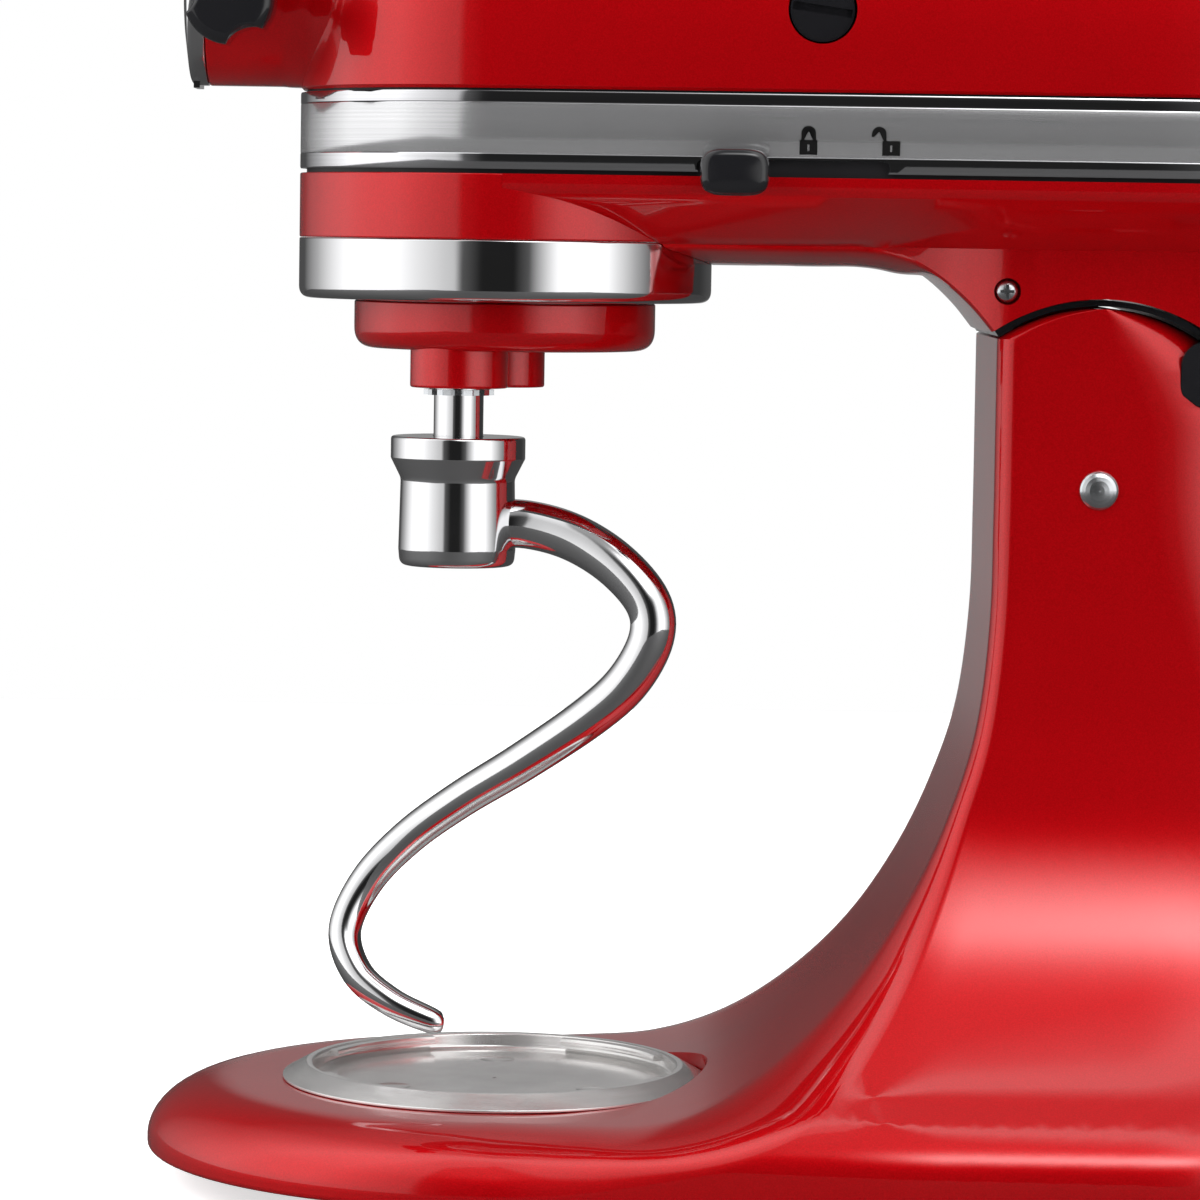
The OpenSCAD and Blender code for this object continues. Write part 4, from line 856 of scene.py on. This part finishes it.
# Middle line of the hook from the shaft's axis, as (x, y, z, radius)
HOOK_LINE = [(6, 0, 172.5, 6.3), (18, -1, 172.5, 6.2), (30, -5, 169.5, 6.1), (41, -10, 163, 6),
             (49, -14, 154, 5.9), (50, -15, 145, 5.8), (44.5, -13, 134, 5.7), (35, -9, 124.5, 5.5),
             (18, -1, 111.8, 5.2), (1.5, 7, 100.6, 4.9), (-12, 12, 90, 4.7), (-22.5, 13, 78.5, 4.5),
             (-28, 10, 66, 4.3), (-24.5, 5, 55.5, 4.1), (-15.5, 1, 48.6, 3.8), (-4.5, -1, 44, 3.3),
             (-2.2, -1, 43.2, 1.8)]


def dough_hook():
    bm = bmesh.new()
    collar = fillet([(161.7, 6.6), (161.7, 14.6), (166, 15), (184, 14.6), (189.2, 17.2), (194.8, 17.2),
                     (194.8, 6.6)], [0, 2.6, 6, 3.5, 0.9, 0.9, 0], 8)
    shaft = upright(AGITATOR_X, AGITATOR_Y)
    add_lathe(bm, collar, shaft, 128)
    add_lathe(bm, [(161.7, 0), (161.7, 7), (164, 7), (164, 0)], shaft, 64)
    path = catmull(HOOK_LINE, 8)
    rings = []
    for i, p in enumerate(path):
        t = path[min(len(path) - 1, i + 1)][:3] - path[max(0, i - 1)][:3]
        t = t / np.linalg.norm(t)
        u = np.cross((0, 1, 0), t)
        u = u / np.linalg.norm(u)
        v = np.cross(t, u)
        rings.append([p[:3] + (AGITATOR_X, AGITATOR_Y, 0) + p[3] * (math.cos(w) * u + math.sin(w) * v)
                      for w in -2 * math.pi * np.arange(40) / 40])
    add_loft(bm, rings)
    finish_mesh("hook", bm, [STAINLESS], "agitator", ["dough_hook"], sharp=35)


hub_ears()
hub_lid()
clamp_knob()
lever_knob("lock_knob", "lock_lever", "lock_lever_knob", -39.2, -22.2, 256.7, 268.4, -60.2, -69)
lever_knob("speed_lever_knob", "speed_lever", "speed_knob", 24.4, 39.6, 265.7, 276.5, 62.2, 72.4)
bowl_plate()
drip_ring()
planetary()
dough_hook()

# --- Materials of the CAD pieces that stay in view -------------------------------------

for part in frame["record"]["subparts"]:
    obj = frame["nodes"][part["node"]]
    obj.data.materials.clear()
    obj.data.materials.append(SLOT_MATERIALS[part["material_slot"]])
    obj.data.polygons.foreach_set("use_smooth", [True] * len(obj.data.polygons))
    obj.data.set_sharp_from_angle(angle=math.radians(32))

# --- Floor, light and camera -------------------------------------------------------------


def area_light(name, place, target, size, power):
    """Rectangular lamp aimed at target, which reflections don't show."""
    data = bpy.data.lights.new(name, "AREA")
    data.shape = "RECTANGLE"
    data.size, data.size_y = size
    data.energy = power
    obj = bpy.data.objects.new(name, data)
    obj.location = place
    obj.rotation_euler = (Vector(target) - Vector(place)).to_track_quat("-Z", "Y").to_euler()
    bpy.context.collection.objects.link(obj)
    obj.visible_glossy = False


def math_node(tree, operation, a, b=None, clamp=False):
    node = tree.nodes.new("ShaderNodeMath")
    node.operation = operation
    node.use_clamp = clamp
    for socket, value in zip(node.inputs, (a, b)):
        if isinstance(value, (int, float)):
            socket.default_value = value
        elif value is not None:
            tree.links.new(value, socket)
    return node.outputs[0]


FLOOR_HALF, FLOOR_GLOW = 1.3, 0.62
FLOOR_PALE, FLOOR_IN_GLOSS = (0.88, 0.88, 0.88), (0.04, 0.04, 0.04)
bm = bmesh.new()
bmesh.ops.create_grid(bm, x_segments=1, y_segments=1, size=FLOOR_HALF)
floor_mesh = bpy.data.meshes.new("floor")
bm.to_mesh(floor_mesh)
bm.free()
floor = bpy.data.objects.new("floor", floor_mesh)
bpy.context.collection.objects.link(floor)
floor_mat, floor_tree, floor_shader = new_material("pale_floor", Roughness=0.6)
floor_ray = floor_tree.nodes.new("ShaderNodeLightPath")
seen_directly = floor_ray.outputs["Is Camera Ray"]
in_gloss = floor_ray.outputs["Is Glossy Ray"]
floor_tree.links.new(mix_colour(floor_tree, in_gloss, FLOOR_PALE, FLOOR_IN_GLOSS),
                     floor_shader.inputs["Base Color"])
floor_shader.inputs["Emission Color"].default_value = (1, 1, 1, 1)
floor_tree.links.new(math_node(floor_tree, "MULTIPLY", seen_directly, FLOOR_GLOW),
                     floor_shader.inputs["Emission Strength"])
floor_mesh.materials.append(floor_mat)

# The studio, by direction round the mixer: a white panel on the left, a strip of light on the
# right, darkness behind the camera and a dim panel behind the mixer. Each stop is (degrees to the
# right of the camera, level).
STUDIO = [(-180, 0.2), (-175, 0.19), (-172, 0.05), (-150, 0.06), (-128, 0.36), (-110, 0.75),
          (-98, 1.0), (-62, 1.0), (-50, 0.78), (-32, 0.54), (-27, 0.50), (-23, 0.08),
          (-12, 0.012), (6, 0.012), (14, 0.08), (22, 0.5), (30, 0.95), (38, 1.1), (56, 1.1),
          (66, 0.72), (78, 0.36), (90, 0.10), (104, 0.03), (140, 0.03), (154, 0.05), (170, 0.06),
          (176, 0.2), (180, 0.2)]
STUDIO_LEVEL = 1.8
OVERHEAD_LEVEL, OVERHEAD_FROM, OVERHEAD_FADE = 0.5, 0.62, 0.3
world = bpy.data.worlds.new("studio")
bpy.context.scene.world = world
world.use_nodes = True
tree = world.node_tree
tree.nodes.clear()
coords = tree.nodes.new("ShaderNodeTexCoord")
split = tree.nodes.new("ShaderNodeSeparateXYZ")
tree.links.new(coords.outputs["Generated"], split.inputs[0])
toward_camera = math_node(tree, "MULTIPLY", split.outputs["Y"], -1)
turn = math_node(tree, "ARCTAN2", split.outputs["X"], toward_camera)
place = math_node(tree, "MULTIPLY_ADD", turn, 0.5 / math.pi)
place.node.inputs[2].default_value = 0.5
ramp = tree.nodes.new("ShaderNodeValToRGB")
tree.links.new(place, ramp.inputs[0])
stops = ramp.color_ramp.elements
while len(stops) > 1:
    stops.remove(stops[-1])
for i, (degrees, value) in enumerate(STUDIO):
    at = (degrees / 180 + 1) / 2
    stop = stops[0] if i == 0 else stops.new(at)
    stop.position = at
    stop.color = (*[value * STUDIO_LEVEL] * 3, 1)
# A soft round lamp, high and a little to the right of the camera
LAMP_TURN, LAMP_HEIGHT = math.radians(13), math.radians(46)
LAMP_SPREAD, LAMP_LEVEL = 75, 9.0
towards = tree.nodes.new("ShaderNodeVectorMath")
towards.operation = "DOT_PRODUCT"
tree.links.new(coords.outputs["Generated"], towards.inputs[0])
towards.inputs[1].default_value = (math.sin(LAMP_TURN) * math.cos(LAMP_HEIGHT),
                                   -math.cos(LAMP_TURN) * math.cos(LAMP_HEIGHT), math.sin(LAMP_HEIGHT))
facing = math_node(tree, "MAXIMUM", towards.outputs["Value"], 0)
lamp = math_node(tree, "MULTIPLY", math_node(tree, "POWER", facing, LAMP_SPREAD), LAMP_LEVEL)
# A soft glow from overhead
above = math_node(tree, "MULTIPLY_ADD", split.outputs["Z"], 1 / OVERHEAD_FADE, clamp=True)
above.node.inputs[2].default_value = -OVERHEAD_FROM / OVERHEAD_FADE
glow = math_node(tree, "MULTIPLY", above, OVERHEAD_LEVEL)
level = math_node(tree, "ADD", math_node(tree, "ADD", ramp.outputs["Color"], glow), lamp)
reflected = tree.nodes.new("ShaderNodeBackground")
tree.links.new(level, reflected.inputs["Strength"])
seen = tree.nodes.new("ShaderNodeBackground")
seen.inputs["Color"].default_value = (1, 1, 1, 1)
ray = tree.nodes.new("ShaderNodeLightPath")
pick = tree.nodes.new("ShaderNodeMixShader")
tree.links.new(ray.outputs["Is Camera Ray"], pick.inputs[0])
tree.links.new(reflected.outputs[0], pick.inputs[1])
tree.links.new(seen.outputs[0], pick.inputs[2])
out = tree.nodes.new("ShaderNodeOutputWorld")
tree.links.new(pick.outputs[0], out.inputs[0])

area_light("key", (-1.35, -0.75, 0.9), (-0.05, 0, 0.2), (0.8, 1.1), 17)
area_light("fill", (1.0, -1.1, 0.42), (0.08, 0, 0.1), (0.35, 0.8), 6)
area_light("top", (-0.1, -0.15, 1.7), (0, 0, 0.3), (1.2, 0.6), 12)

CAMERA_PLACE = (-0.0622, -1.2987, 0.2465)
CAMERA_PITCH, CAMERA_ROLL = math.radians(4.17), math.radians(0.88)
camera = bpy.data.cameras.new("photo_view")
camera.lens = 150
camera.sensor_width = 36
camera_obj = bpy.data.objects.new("photo_view", camera)
bpy.context.collection.objects.link(camera_obj)
back = Vector((0, -math.cos(CAMERA_PITCH), math.sin(CAMERA_PITCH)))
right = Vector((1, 0, 0))
up = back.cross(right)
tilted_right = right * math.cos(CAMERA_ROLL) + up * math.sin(CAMERA_ROLL)
tilted_up = up * math.cos(CAMERA_ROLL) - right * math.sin(CAMERA_ROLL)
pose = Matrix((tilted_right, tilted_up, back)).transposed().to_4x4()
pose.translation = CAMERA_PLACE
camera_obj.matrix_world = pose
bpy.context.scene.camera = camera_obj
bpy.context.scene.view_settings.view_transform = "Standard"
